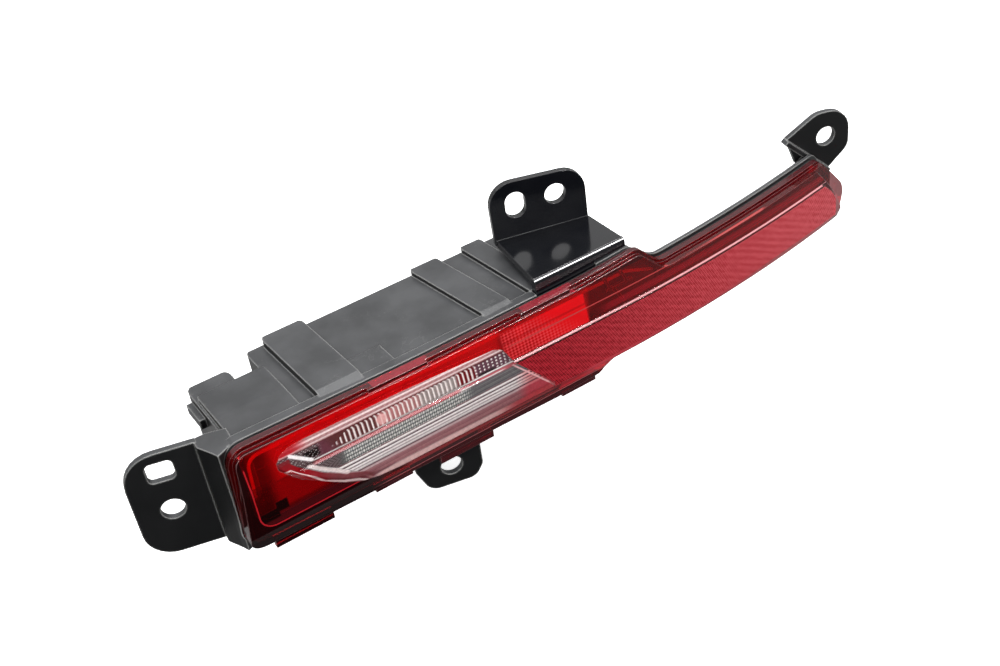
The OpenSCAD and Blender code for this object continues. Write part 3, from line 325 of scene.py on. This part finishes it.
def skin(n, tint, normal):
    """Thin clear skin: what is behind shows straight through, under a gloss."""
    gloss = n.node("ShaderNodeBsdfAnisotropic", {"Roughness": 0.03, "Normal": normal})
    clear = n.node("ShaderNodeBsdfTransparent", {"Color": (*tint, 1)})
    fresnel = n.node("ShaderNodeFresnel", {"IOR": 1.49, "Normal": normal})
    return n.mix_shader(fresnel.outputs[0], clear.outputs[0], gloss.outputs[0])


def lens_normal(n):
    return n.bump(0.2, 0.00002, n.noise(120.0, 2, n.object_space()), 0.0006)


def window_material():
    """Outside of the window: a clear skin."""
    m = new_material("clear_lens")
    n = Net(m.node_tree)
    n.out(skin(n, (0.97, 0.97, 0.98), lens_normal(n)))
    return m


def optics_material():
    """Inner face of the window: strokes and stripes by the mesh's own shades, which are painted light and
    shade, slightly speckled.
    """
    m = new_material("window_optics")
    n = Net(m.node_tree)
    shade = n.node("ShaderNodeAttribute", attribute_name="shade")
    speck = n.add(n.mul(n.noise(900.0, 2, n.object_space()), 0.5), 0.75)
    colour = n.node("ShaderNodeVectorMath", {0: shade.outputs["Color"], 1: speck}, operation="MULTIPLY")
    body = n.node("ShaderNodeBsdfPrincipled", {"Base Color": colour.outputs[0], "Roughness": 0.25})
    clear = n.node("ShaderNodeBsdfTransparent", {"Color": (1, 1, 1, 1)})
    n.out(n.mix_shader(shade.outputs["Alpha"], clear.outputs[0], body.outputs[0]))
    return m


def blade_colour(n, u, z, mottle):
    """Prism cells that show through the blade, with painted glints on their facets and broad diagonal waves,
    lighter towards the right by a painted sheen.
    """
    slant, fall = n.add(u, n.mul(z, 0.55)), n.sub(z, n.mul(u, 0.35))
    pitch_u, pitch_z = 1.25, 1.1
    wave = n.math("SINE", n.add(n.mul(u, 0.9), n.add(n.mul(z, 1.7), n.mul(mottle, 5.0))))
    cell = n.node("ShaderNodeCombineXYZ", {0: n.math("FLOOR", n.math("DIVIDE", slant, pitch_u)),
                                           1: n.math("FLOOR", n.math("DIVIDE", fall, pitch_z))}).outputs[0]
    fleck = n.node("ShaderNodeTexWhiteNoise", {"Vector": cell}, noise_dimensions="3D").outputs["Value"]
    facet = n.add(n.mul(n.add(n.centred(slant, pitch_u), n.centred(fall, pitch_z)), 1.15), n.mul(wave, 0.11))
    facet = n.math("ADD", facet, n.sub(n.mul(fleck, 0.3), 0.3), True)
    # The light colours are painted glints on the facets, and the change along u is a painted sheen, lighter
    # towards the right
    along = n.node("ShaderNodeMapRange", {0: u, 1: 170.0, 2: 330.0}).outputs[0]
    dark = n.mix(along, tone(104, 6, 18), tone(170, 14, 32))
    light = n.mix(along, tone(196, 50, 62), tone(244, 98, 108))
    return n.mix(facet, dark, light)


def chamber_colour(n, u, z):
    """Painted glow of the lit fog chamber, brighter towards the right, with rows of dots in painted highlight
    and a darker line.
    """
    dots = n.mul(n.rise(n.add(n.centred(u, 1.7), n.centred(z, 1.3)), 0.5, 0.2),
                 n.fall(n.add(u, n.mul(z, 1.5)), 199.0, 9.0))
    glow = n.mix(n.rise(n.add(u, n.mul(z, 1.2)), 185.0, 16.0), tone(168, 0, 12), tone(244, 0, 22))
    glow = n.mix(n.mul(dots, 0.75), glow, tone(255, 70, 76))
    return n.mix(n.mul(n.band(z, 19.2, 20.2, 0.2), 0.5), glow, tone(150, 0, 10))


def red_material():
    """Red lens: a clear red skin with a gloss, and a haze that follows its mouldings. Much of the haze is
    painted light: glow of the lit chambers behind, highlight lines, glints and sheen.
    """
    m = new_material("red_lens")
    n = Net(m.node_tree)
    u, v, z = n.bent()
    normal = lens_normal(n)
    face = n.add(n.mul(n.math("MAXIMUM", n.sub(z, CREASE_Z), 0.0), UPPER_SLOPE),
                 n.mul(n.math("MAXIMUM", n.sub(LOW_BEND_Z, z), 0.0), LOWER_SLOPE))
    front = n.fall(n.sub(n.sub(v, face), CREASE_V), 1.2, 0.3)
    up = n.rise(n.facing_up(), 0.75, 0.15)
    flange = n.rise(v, -21.2, 0.3)
    above = n.rise(z, 10.9, 0.3)
    left = n.fall(u, 80, 6.0)
    mottle = n.noise(260.0, 3, n.object_space())
    # Distance from a rounded rectangle's corner centre, for the tray's rim at the left end
    side, below = n.math("MAXIMUM", n.sub(32.0, u), 0.0), n.math("MAXIMUM", n.sub(-3.0, z), 0.0)
    reach = n.math("SQRT", n.add(n.mul(side, side), n.mul(below, below)))
    notch = n.math("MAXIMUM", n.both(n.band(u, 25.5, 34, 0.3), n.band(z, -6.5, -1.5, 0.3)),
                   n.both(n.band(u, 33, 38.5, 0.3), n.band(z, -4.0, 1.2, 0.3)))
    tabs = n.add(n.band(u, 86, 113, 0.2), n.band(u, 160, 186.5, 0.2))
    # Zones from the bottom layer up: where, colour and cover
    zones = [
        # Band over the window: a painted glow of the lit chamber behind
        (n.both(front, above, n.band(u, 36, 146, 4.0)), n.mix(mottle, tone(196, 0, 8), tone(226, 0, 16)), 0.42),
        # Fog chamber: its painted glow
        (n.both(front, above, n.band(u, 146, 190.0, 0.9), n.band(z, 0, 24.6, 0.5)),
         chamber_colour(n, u, z), 0.58),
        # Patch left of the window, a painted glow of the lit tray behind; then the tail over the crease, and
        # the top step
        (n.both(front, n.band(u, 34, 66, 3.0), n.band(z, -3, 11.0, 1.5)), tone(176, 0, 14), 0.35),
        (n.both(front, above, n.rise(u, 192, 1.0)), n.mix(mottle, tone(76, 2, 8), tone(112, 6, 14)), 0.3),
        (n.both(front, n.rise(z, 26.6, 0.4)), tone(46, 2, 6), 0.8),
        # Low edge: brown under the left end, lighter under the window, and the flange band with its line
        (n.both(front, n.band(u, 20, 82, 3.0), n.band(z, -30, -4.0, 1.5)), tone(74, 18, 23), 0.6),
        (n.both(front, n.band(z, -17.3, -12.8, 0.4), n.band(u, 92, 172, 4.0)), tone(152, 54, 58), 0.7),
        (n.both(front, n.fall(z, -17.0, 0.4)), tone(70, 32, 35), 0.72),
        (n.both(front, n.band(z, -20.6, -19.9, 0.15)), tone(176, 96, 98), 0.7),
        # Black notch, and the rounded rim of the tray as a painted highlight line, with the dark outside it
        (n.mul(front, notch), tone(22, 3, 6), 0.8),
        (n.both(front, n.band(reach, 6.9, 30, 0.3), left), tone(30, 4, 8), 0.72),
        (n.both(front, n.band(reach, 6.2, 6.8, 0.15), left, n.band(z, -20, 21.5, 1.0)), tone(186, 36, 44), 0.7),
        # Lug patch, a thin painted highlight line, and the red strip of the tail
        (n.both(front, n.band(u, 172, 193, 1.5), n.band(z, -19.5, -14.0, 0.8)), tone(196, 44, 56), 0.6),
        (n.both(front, n.band(u, 149, 300, 2.0), n.band(z, 17.2, 17.8, 0.15)), tone(196, 70, 70), 0.6),
        (n.both(front, n.band(u, 198, 350, 6.0), n.band(z, 12.0, 15.0, 0.5)), tone(168, 22, 36), 0.35),
        # Blade with its painted glints and sheen, and over it the crease as a painted shade line and a painted
        # highlight line
        (n.both(n.fall(v, -26.75, 0.2), n.fall(z, 9.6, 0.3)), blade_colour(n, u, z, mottle), 0.82),
        (n.both(front, n.band(z, 9.35, 10.0, 0.1), n.rise(u, 149, 1.0)), tone(26, 6, 8), 0.85),
        (n.both(front, n.band(z, 10.2, 10.55, 0.1), n.rise(u, 146, 1.5)), tone(214, 150, 154), 0.85),
        # Top of the flange and its weld tabs, where they face up: the lens's red with a painted sheen of the
        # sky
        (n.both(flange, up, n.rise(z, 10, 1.0)), n.mix(mottle, tone(44, 8, 14), tone(86, 26, 34)), 0.7),
        (n.both(up, n.rise(z, 25, 0.5), n.rise(v, -23.4, 0.3), tabs),
         n.mix(mottle, tone(112, 22, 34), tone(150, 44, 56)), 0.7),
        # Low edge of the blade, right end, and painted highlights along edges all over
        (n.both(n.rise(u, 186, 4.0), n.band(z, -19.5, -12.3, 0.4)), tone(196, 66, 76), 0.7),
        (n.rise(u, 354.0, 0.6), n.mix(mottle, tone(150, 88, 92), tone(190, 120, 122)), 0.6),
        (n.mul(n.edge(0.0006, 1.5), 0.7), tone(226, 160, 162), 0.6),
    ]
    state = (n.mix(mottle, tone(120, 4, 12), tone(150, 12, 20)), 0.08)
    for zone in zones:
        state = n.layer(state, *zone)
    haze = n.node("ShaderNodeBsdfPrincipled", {"Base Color": state[0], "Roughness": 0.22, "Normal": normal})
    n.out(n.mix_shader(state[1], skin(n, (0.95, 0.13, 0.16), normal), haze.outputs[0]))
    return m


def tray_material():
    """Metallised tray: bright in its bowls, dull at the left end and dark in the tail, with painted highlights
    on its edges and on the front of its rim.
    """
    m = new_material("bright_tray")
    n = Net(m.node_tree)
    u, v, z = n.bent()
    mottle = n.noise(140.0, 3, n.object_space())
    colour = n.mix(mottle, (0.78, 0.78, 0.79), (0.88, 0.88, 0.88))
    colour = n.mix(n.rise(u, 58.0, 10.0), (0.2, 0.2, 0.2), colour)
    colour = n.mix(n.rise(u, 197.5, 2.0), colour, (0.16, 0.16, 0.16))
    # Painted highlight: near white along edges and on the front of the rim
    colour = n.mix(n.math("MAXIMUM", n.edge(0.0009, 1.6), n.fall(v, -17.9, 0.15)), colour, (0.95, 0.95, 0.95))
    rough = n.add(n.mul(mottle, 0.15), 0.22)
    n.out(n.node("ShaderNodeBsdfPrincipled", {"Base Color": colour, "Roughness": rough,
                                              "Normal": n.bevel(0.0005)}).outputs[0])
    return m


# Geometry
def place(u, v, z):
    """Lens frame to the row frame, in metres."""
    if u > TAIL_U:
        a = (u - TAIL_U) / (ARC_V - v)
        u, v = TAIL_U + (ARC_V - v) * math.sin(a), ARC_V - (ARC_V - v) * math.cos(a)
    c, s = math.cos(SWEEP), math.sin(SWEEP)
    return (u * c - v * s) / 1000, (u * s + v * c) / 1000, z / 1000


def face_v(z):
    return lookup(z, [(b, a) for a, b in FACE])


def front_v(z):
    """Front of the window, where the blade under the crease stands out."""
    return face_v(z) if z >= CREASE_Z else max(BLADE_V, CREASE_V - 1.2 * (CREASE_Z - z) / 0.5)


def add_mesh(name, points, faces, materials, replaced):
    mesh = bpy.data.meshes.new(name)
    mesh.from_pydata(points, [], faces)
    mesh.validate()
    o = bpy.data.objects.new(name, mesh)
    bpy.context.scene.collection.objects.link(o)
    for m in materials:
        mesh.materials.append(m)
    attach(o, "root")
    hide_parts(replaced)
    return o


def wobble_at(u, z):
    """Uneven wobble from -1 to 1, which varies the window's painted light and shade."""
    return math.sin(u * 3.1 + 2 * math.sin(z * 1.3)) * math.sin(z * 5.3 + u * 0.7)


def streak_at(u, z):
    """Fine level streaks of painted light around 0.5."""
    return 0.5 + 0.5 * math.sin(z * 4.7 + 0.6 * math.sin(u * 0.11)) * math.sin(z * 1.9 + 1)


def flutes(u, z, crease):
    """Hooked strokes over the crease: share of a stroke at a point, and the colour of the painted refracted
    light between them.
    """
    hook = (0.8 + 1.0 * step(u, 75, 110)) * max(0.0, (z - 16.3) / 1.5) ** 2
    phase = ((u + hook) / STROKE_PITCH) % 1.0
    grow = step(u, 60.5, 71)
    foot = crease + 0.2 + 1.5 * (1 - grow)
    body = step(z, foot, foot + 0.5) * (1 - step(z, 13.9 + 3.5 * grow, 14.3 + 3.6 * grow))
    stroke = step(phase, 0.02, 0.14) * (1 - step(phase, 0.36, 0.5)) * body * step(u, 60.5, 61.5)
    if u > 129:
        row = step(math.sin(z * 2 * math.pi / 1.45), -0.1, 0.5)
        stroke *= 1 - step(u, 129, 132) * (1 - row)
    return stroke, pick(u, GAPS)


def over_crease(u, z, crease):
    """Field over the crease, in painted light and shade: pale strokes, a pale blob, the top band and the dark
    left tip.
    """
    rim = 21.1 - 0.0107 * (u - 46)
    grain = wobble_at(u, z)
    stroke, c = flutes(u, z, crease)
    # Strokes: a pale painted highlight on each flute
    c = blend(c, (235, 226, 222), stroke)
    # Pale blob of painted light where the strokes change colour, and a dark slot among the dots at the right
    blob = 1 - step(math.hypot((u - 84.7) / 2.7, (z - 14.6) / 2.6), 0.75, 1.0)
    c = blend(c, (226, 172, 168), blob * 0.75)
    c = blend(c, (45, 30, 34), ridge(z, 12.0, 1.3) * step(u, 131, 132) * (1 - step(u, 139, 140.5)))
    # Top band with two painted highlight lines and a dark one, red at the left
    top = step(z, rim - 2.9, rim - 2.7)
    c = blend(c, blend((158, 108, 108), (186, 146, 144), 0.5 + 0.5 * grain), top)
    c = blend(c, (236, 222, 220), ridge(z, rim - 1.8, 0.45) * 0.9)
    c = blend(c, (80, 40, 42), ridge(z, rim - 2.75, 0.4) * 0.9)
    c = blend(c, (246, 226, 224), ridge(z, rim, 0.7))
    c = blend(c, (176, 26, 34), (1 - step(u, 44, 54)) * step(z, rim - 2.2, rim - 1.6) * 0.85)
    # Left tip: painted dark shade with a black patch, and bright painted glints
    tip_shade = blend((72, 60, 62), (105, 92, 92), 0.5 + 0.5 * grain)
    tip_shade = blend(tip_shade, (12, 10, 10), ridge(z, 15, 3.2) * ridge(u, 52.5, 6.5, 1.0))
    tip_shade = blend(tip_shade, (225, 222, 218), step(grain, 0.72, 0.85) * 0.8)
    tip_shade = blend(tip_shade, (96, 54, 64), step(u, 54, 58))
    tip = 1 - step(u + 0.5 * (z - 14), 58, 66)
    return blend(c, tip_shade, tip * (1 - top)), stroke


def under_crease(u, z, crease):
    """Field under the crease: rows of pillows in painted highlight, then painted streaks of light, with a pink
    and a light painted highlight line.
    """
    c = blend((92, 96, 94), (92, 94, 96), step(u, 120, 132))
    # Pillows in painted highlight: each row is half a pitch off the next, and fades at both ends
    weave = math.sin(u * 2 * math.pi / STROKE_PITCH) * math.sin((z + 0.3) * 2 * math.pi / 3.6)
    dot = step(abs(weave), 0.2, 0.6) if weave > 0 else 0.8 * step(-weave, 0.3, 0.7)
    dot *= step(u, 64, 67) * (1 - step(u, 122, 130))
    c = blend(c, (224, 224, 218), dot)
    # Painted streaks of light at the right, wobbly painted light and shade at the left
    c = blend(c, blend((78, 76, 78), (150, 148, 146), streak_at(u, z)), step(u, 124, 132) * 0.6)
    c = blend(c, blend((62, 54, 56), (120, 110, 110), 0.5 + 0.5 * wobble_at(u, z)), 1 - step(u, 60, 67))
    c = blend(c, (205, 96, 102), ridge(z, crease - 1.55, 1.7, 0.5) * step(u, 50, 54) * 0.9)
    c = blend(c, (240, 236, 232), ridge(z, 8.9, 0.55) * step(u, 120, 123) * (1 - step(u, 142, 146)))
    return c, dot * 0.5


def plain_low(u, z):
    """Plain pink field at the low edge, with faint painted streaks of light."""
    c = blend((122, 80, 85), (160, 118, 120), streak_at(u, z) * 0.8)
    return blend(c, (172, 70, 80), step(u, 148, 156)), 0.0


def stripes(u, z, h, c, relief):
    """Long stripes near the low edge, which sweep up along the left tip: painted highlights on low ridges, with
    a dark band under them. h is the height over that edge.
    """
    q = min(z + 12, 6.7 + 2.6 * (h - 4.4))
    under = step(q, 7.0, 7.8) * (1 - step(z, 2.0, 2.6)) * (1 - step(u, 162, 168))
    c = blend(c, (58, 44, 47), under * 0.85)
    for at, power in STRIPES:
        line = ridge(q, at, 1.0, 0.3) * power * (1 - step(z, 9.5, 11.0)) * step(u, 47, 52)
        # Each stripe is a painted highlight, pink at the right
        c = blend(c, blend((246, 242, 238), (235, 150, 150), step(u, 148, 158)), line)
        relief = max(relief, line)
    tip = blend((150, 24, 32), (116, 62, 66), step(u, 46, 62))
    return blend(c, tip, (1 - step(h, 4.0, 4.6)) * (1 - step(u, 72, 80))), relief


def edge_highlights(u, z, h, crease, c):
    """Painted highlight lines of the crease, the low edge, the left tip and the slanted right edge."""
    c = blend(c, (245, 238, 234), ridge(z, crease, 0.65) * step(u, 50, 54))
    # Low edge: painted highlight lines
    bright = blend((250, 220, 215), (205, 92, 98), step(u, 134, 150))
    c = blend(c, bright, (1 - step(h, 2.2, 2.9)) * step(h, 0.0, 0.4) * step(u, 70, 80))
    c = blend(c, (246, 232, 228), ridge(h, 0.93, 0.55) * (1 - step(u, 72, 80)))
    # Left tip: a bright painted highlight bar, a fainter one under it and a red notch
    bar = abs((u - 43.7) * 0.574 + (z - 18.2) * 0.819) if 43 < u < 52.5 and 12 < z < 19 else 9
    c = blend(c, (250, 248, 246), 1 - step(bar, 0.6, 0.95))
    fan = abs((u - 49.1) * 0.634 + (z - 10.7) * 0.773) if 49 < u < 66 and -3 < z < 11 else 9
    c = blend(c, (240, 226, 222), (1 - step(fan, 0.5, 1.3)) * 0.75)
    notch = (1 - step(u, 42.5, 43.5)) * step(z, 13.2, 13.8) * (1 - step(z, 17.0, 17.8))
    c = blend(c, (128, 30, 36), notch * step(bar, 0.8, 1.2) * 0.8)
    # Slanted right edge: a painted highlight line
    right = (u - 149.6) * 0.737 - (8.1 - z) * 0.676
    return blend(c, (238, 190, 190), ridge(right, -0.3, 0.7) if z < 9 else 0.0)


def window_shade(u, z):
    """Colour of the window's optics at a point, which is painted light and shade, and the height of its relief.
    """
    crease = 12.0 - 0.012 * (u - 46)
    h = z - lookup(u, RIM_LOW)
    if z > crease:
        c, relief = over_crease(u, z, crease)
    elif z > PLAIN_TOP:
        c, relief = under_crease(u, z, crease)
    else:
        c, relief = plain_low(u, z)
    if z < PLAIN_TOP or u < 66:
        c, relief = stripes(u, z, h, c, relief)
    return tone(*edge_highlights(u, z, h, crease, c), WINDOW_GAIN), relief


def window_ring(u, rows_low, rows_high, rim_rows, smooth_inside):
    """Points and shades around the window's section at u: up the inner face, down the front, and in along
    the low side wall."""
    share, relief_base, relief_height = 0.3, 0.2, 0.4
    lo, hi = lookup(u, WINDOW_LOW) + WINDOW_GAP, lookup(u, WINDOW_TOP) - WINDOW_GAP
    mid = max(lo + share * (hi - lo), min(hi - share * (hi - lo), CREASE_Z))
    last = rows_low + rows_high
    points, shades = [], []
    for j in range(last + 1):
        z = lo + (mid - lo) * j / rows_low if j <= rows_low else mid + (hi - mid) * (j - rows_low) / rows_high
        c, relief = window_shade(u - SHIFT_U * WALL, z + SHIFT_Z * WALL)
        sunk = 0 if j in (0, last) or smooth_inside else relief_base - relief_height * relief
        points.append(place(u, face_v(z) + WALL - sunk, z))
        shades.append((*c, WINDOW_COVER))
    for z in (hi, mid, mid - min(0.5, share * (mid - lo)), lo):
        points.append(place(u, front_v(z), z))
        shades.append((*window_shade(u, z)[0], RIM_COVER))
    for k in range(1, rim_rows):
        deep = k / rim_rows
        points.append(place(u, front_v(lo) + (face_v(lo) + WALL - front_v(lo)) * deep, lo))
        shades.append((*window_shade(u - SHIFT_U * WALL * deep, lo + SHIFT_Z * WALL * deep)[0], WINDOW_COVER))
    return points, shades


def window_piece():
    """Clear window: smooth outside, with the hooked flutes, dots and stripes on its inner face coloured in
    painted light and shade.
    """
    columns, rows_low, rows_high, rim_rows = 420, 72, 38, 7
    left = WINDOW_LOW[0][0] + WINDOW_GAP
    points, shades = [], []
    for i in range(columns + 1):
        u = left + (WINDOW_RIGHT - left) * i / columns
        ring = window_ring(u, rows_low, rows_high, rim_rows, i in (0, columns))
        points += ring[0]
        shades += ring[1]
    m = len(ring[0])
    front = range(rows_low + rows_high + 1, rows_low + rows_high + 4)
    faces, shaded = [], []
    for i in range(columns):
        for j in range(m):
            a, b = i * m + j, i * m + (j + 1) % m
            faces.append((a, b, b + m, a + m))
            shaded.append(j not in front)
    faces += [tuple(range(m)), tuple(reversed(range(columns * m, (columns + 1) * m)))]
    shaded += [True, True]
    o = add_mesh("window_glass", points, faces, [clear_mat, optics_mat], "clear_window")
    for p, is_shaded in zip(o.data.polygons, shaded):
        p.material_index = int(is_shaded)
        p.use_smooth = is_shaded
    shade = o.data.attributes.new("shade", "FLOAT_COLOR", "POINT")
    shade.data.foreach_set("color", [x for c in shades for x in c])


# Plastics: darker and lighter colour, then roughness
# Housing: painted highlights lighten its edges, and painted shade darkens the faces that don't face up
housing_mat = plastic("black_moulding", (0.024, 0.0248, 0.0268), (0.046, 0.0472, 0.0502), 0.4,
                      painted_edge_highlight=(0.42, 0.42, 0.41), painted_upright_shade=(0.004, 0.0042, 0.0046), bevel=0.001)
# Bracket: a faint painted highlight along its edges
gloss_mat = plastic("black_gloss", (0.003, 0.0034, 0.005), (0.005, 0.0055, 0.007), 0.14, 0.03, grain=0.000008,
                    painted_edge_highlight=(0.03, 0.03, 0.032), coat=0.3, spec=0.4)
clear_mat = window_material()
optics_mat = optics_material()
inner_mat = plastic("inner_black", (0.006, 0.006, 0.007), (0.012, 0.012, 0.013), 0.28)
seal_mat = plastic("seal_black", (0.006, 0.006, 0.006), (0.012, 0.012, 0.012), 0.6)
strip_mat = plastic("strip_grey", (0.5, 0.45, 0.45), (0.6, 0.55, 0.55), 0.35)
# Clips: a dark body as painted shade, with white painted highlights along its edges
clip_mat = plastic("clip_clear", (0.14, 0.09, 0.09), (0.22, 0.15, 0.15), 0.2, painted_edge_highlight=(1.0, 1.0, 1.0))
bulb_mat = bulb_material()
# Bulb holders: a faint painted highlight along their edges
holder_mat = plastic("holder_black", (0.012, 0.012, 0.012), (0.022, 0.022, 0.022), 0.45,
                     painted_edge_highlight=(0.06, 0.06, 0.06))
ring_mat = plastic("seal_red", (0.3, 0.03, 0.02), (0.4, 0.05, 0.04), 0.5)
vent_mat = plastic("vent_white", (0.7, 0.7, 0.68), (0.8, 0.8, 0.78), 0.6)
brass_mat = plastic("contact_brass", (0.65, 0.5, 0.22), (0.75, 0.6, 0.3), 0.25)

for node, material in {
    "housing": housing_mat, "top_bracket": gloss_mat, "outer_lens": red_material(), "clear_window": clear_mat,
    "reflex_plate": reflex_material(), "lens_seal": seal_mat, "bezel": inner_mat,
    "reflector_tray": tray_material(), "tail_strip": strip_mat, "tray_clips": clip_mat, "end_clip": clip_mat,
    "reverse_bulb": bulb_mat, "reverse_bulb_holder": holder_mat, "reverse_holder_seal": ring_mat,
    "reverse_terminals": brass_mat, "fog_bulb": bulb_mat, "fog_bulb_holder": holder_mat,
    "fog_holder_seal": ring_mat, "fog_terminals": brass_mat, "vent_cap": holder_mat, "vent_membrane": vent_mat,
}.items():
    slots = nodes[node].data.materials
    slots.clear()
    slots.append(material)

window_piece()


# Camera at the photograph's angle: degrees of azimuth, elevation and roll, and a place in metres
def camera_matrix(azimuth, elevation, roll, place):
    a, e, r = (math.radians(x) for x in (azimuth, elevation, roll))
    ahead = Vector((math.sin(a) * math.cos(e), math.cos(a) * math.cos(e), -math.sin(e)))
    right = Vector((math.cos(a), -math.sin(a), 0))
    down = ahead.cross(right)
    x = right * math.cos(r) + down * math.sin(r)
    y = right * -math.sin(r) + down * math.cos(r)
    return Matrix(((x[0], -y[0], -ahead[0], place[0]), (x[1], -y[1], -ahead[1], place[1]),
                   (x[2], -y[2], -ahead[2], place[2]), (0, 0, 0, 1)))


def add_object(name, data):
    o = bpy.data.objects.new(name, data)
    bpy.context.scene.collection.objects.link(o)
    return o


camera = bpy.data.cameras.new("camera")
camera.lens, camera.sensor_width, camera.sensor_fit = 46.8, 36, "HORIZONTAL"
camera.clip_start = 0.01
camera_object = add_object("camera", camera)
camera_object.matrix_world = camera_matrix(13.14, 35.74, 8.8, (0.0467, -0.4146, 0.3439))
bpy.context.scene.camera = camera_object


# Floor: pale, a little under the part, and left out of reflections
def floor_material():
    m = new_material("floor_pale")
    n = Net(m.node_tree)
    white = n.node("ShaderNodeBsdfDiffuse", {"Color": (0.9, 0.9, 0.9, 1)})
    glow = n.node("ShaderNodeEmission", {"Color": (1, 1, 1, 1), "Strength": 0.75})
    n.out(n.node("ShaderNodeAddShader", {0: white.outputs[0], 1: glow.outputs[0]}).outputs[0])
    return m


floor_half, floor_z = 7, cad_box[0][2] - 0.0005
corners = [(x * floor_half, y * floor_half, floor_z) for x, y in ((-1, -1), (1, -1), (1, 1), (-1, 1))]
floor_mesh = bpy.data.meshes.new("floor")
floor_mesh.from_pydata(corners, [], [(0, 1, 2, 3)])
floor_mesh.materials.append(floor_material())
floor = add_object("floor", floor_mesh)
floor.visible_glossy = False
floor.visible_diffuse = False


# World: white to the camera, and for light a soft sky with a low glow at the back and to the right
def studio_world():
    world = bpy.data.worlds.new("studio")
    bpy.context.scene.world = world
    world.use_nodes = True
    world.node_tree.nodes.clear()
    n = Net(world.node_tree)
    axes = n.split(n.node("ShaderNodeTexCoord").outputs["Generated"])
    right, back, up = (n.add(n.mul(axis, 0.5), 0.5) for axis in axes)
    high = n.ramp(up, [(0.0, 0.0), (0.48, 0.0), (0.56, 0.35), (0.7, 0.85), (1.0, 1.0)])
    behind = n.ramp(back, [(0.3, 0.02), (0.55, 0.1), (0.75, 0.55)])
    beside = n.ramp(right, [(0.76, 0.0), (0.88, 0.3), (1.0, 0.5)])
    below = n.ramp(up, [(0.46, 1.0), (0.54, 0.0)])
    low = n.node("ShaderNodeVectorMath", {0: behind, 1: beside}, operation="ADD").outputs[0]
    low = n.node("ShaderNodeVectorMath", {0: low, 1: below}, operation="MULTIPLY").outputs[0]
    sky = n.node("ShaderNodeVectorMath", {0: low, 1: high}, operation="ADD").outputs[0]
    seen = n.node("ShaderNodeLightPath").outputs["Is Camera Ray"]
    background = n.node("ShaderNodeBackground", {"Color": n.mix(seen, sky, (1.1, 1.1, 1.1)), "Strength": 1.0})
    n.node("ShaderNodeOutputWorld", {0: background.outputs[0]})


studio_world()

# Middle of the part
middle = (0.17, 0.03, 0.0)


def lamp(name, place, size, power):
    """Soft lamp that faces the middle of the part, in metres and watts."""
    light = bpy.data.lights.new(name, "AREA")
    light.shape, light.size, light.size_y, light.energy = "RECTANGLE", size[0], size[1], power
    o = add_object(name, light)
    o.location = place
    o.rotation_mode = "QUATERNION"
    o.rotation_quaternion = (Vector(place) - Vector(middle)).to_track_quat("Z", "Y")
    return o


lamp("top_box", (0.22, 0.25, 1.1), (1.0, 0.8), 11.5)
lamp("front_box", (-0.3, -0.9, 0.9), (0.6, 0.4), 2.5)
lamp("low_box", (0.05, -1.0, 0.4), (0.9, 0.35), 10)
glint = lamp("edge_box", (0.84, -0.5, 0.9), (0.5, 0.2), 22)
glint.visible_diffuse = False

bpy.context.scene.view_settings.view_transform = "Standard"
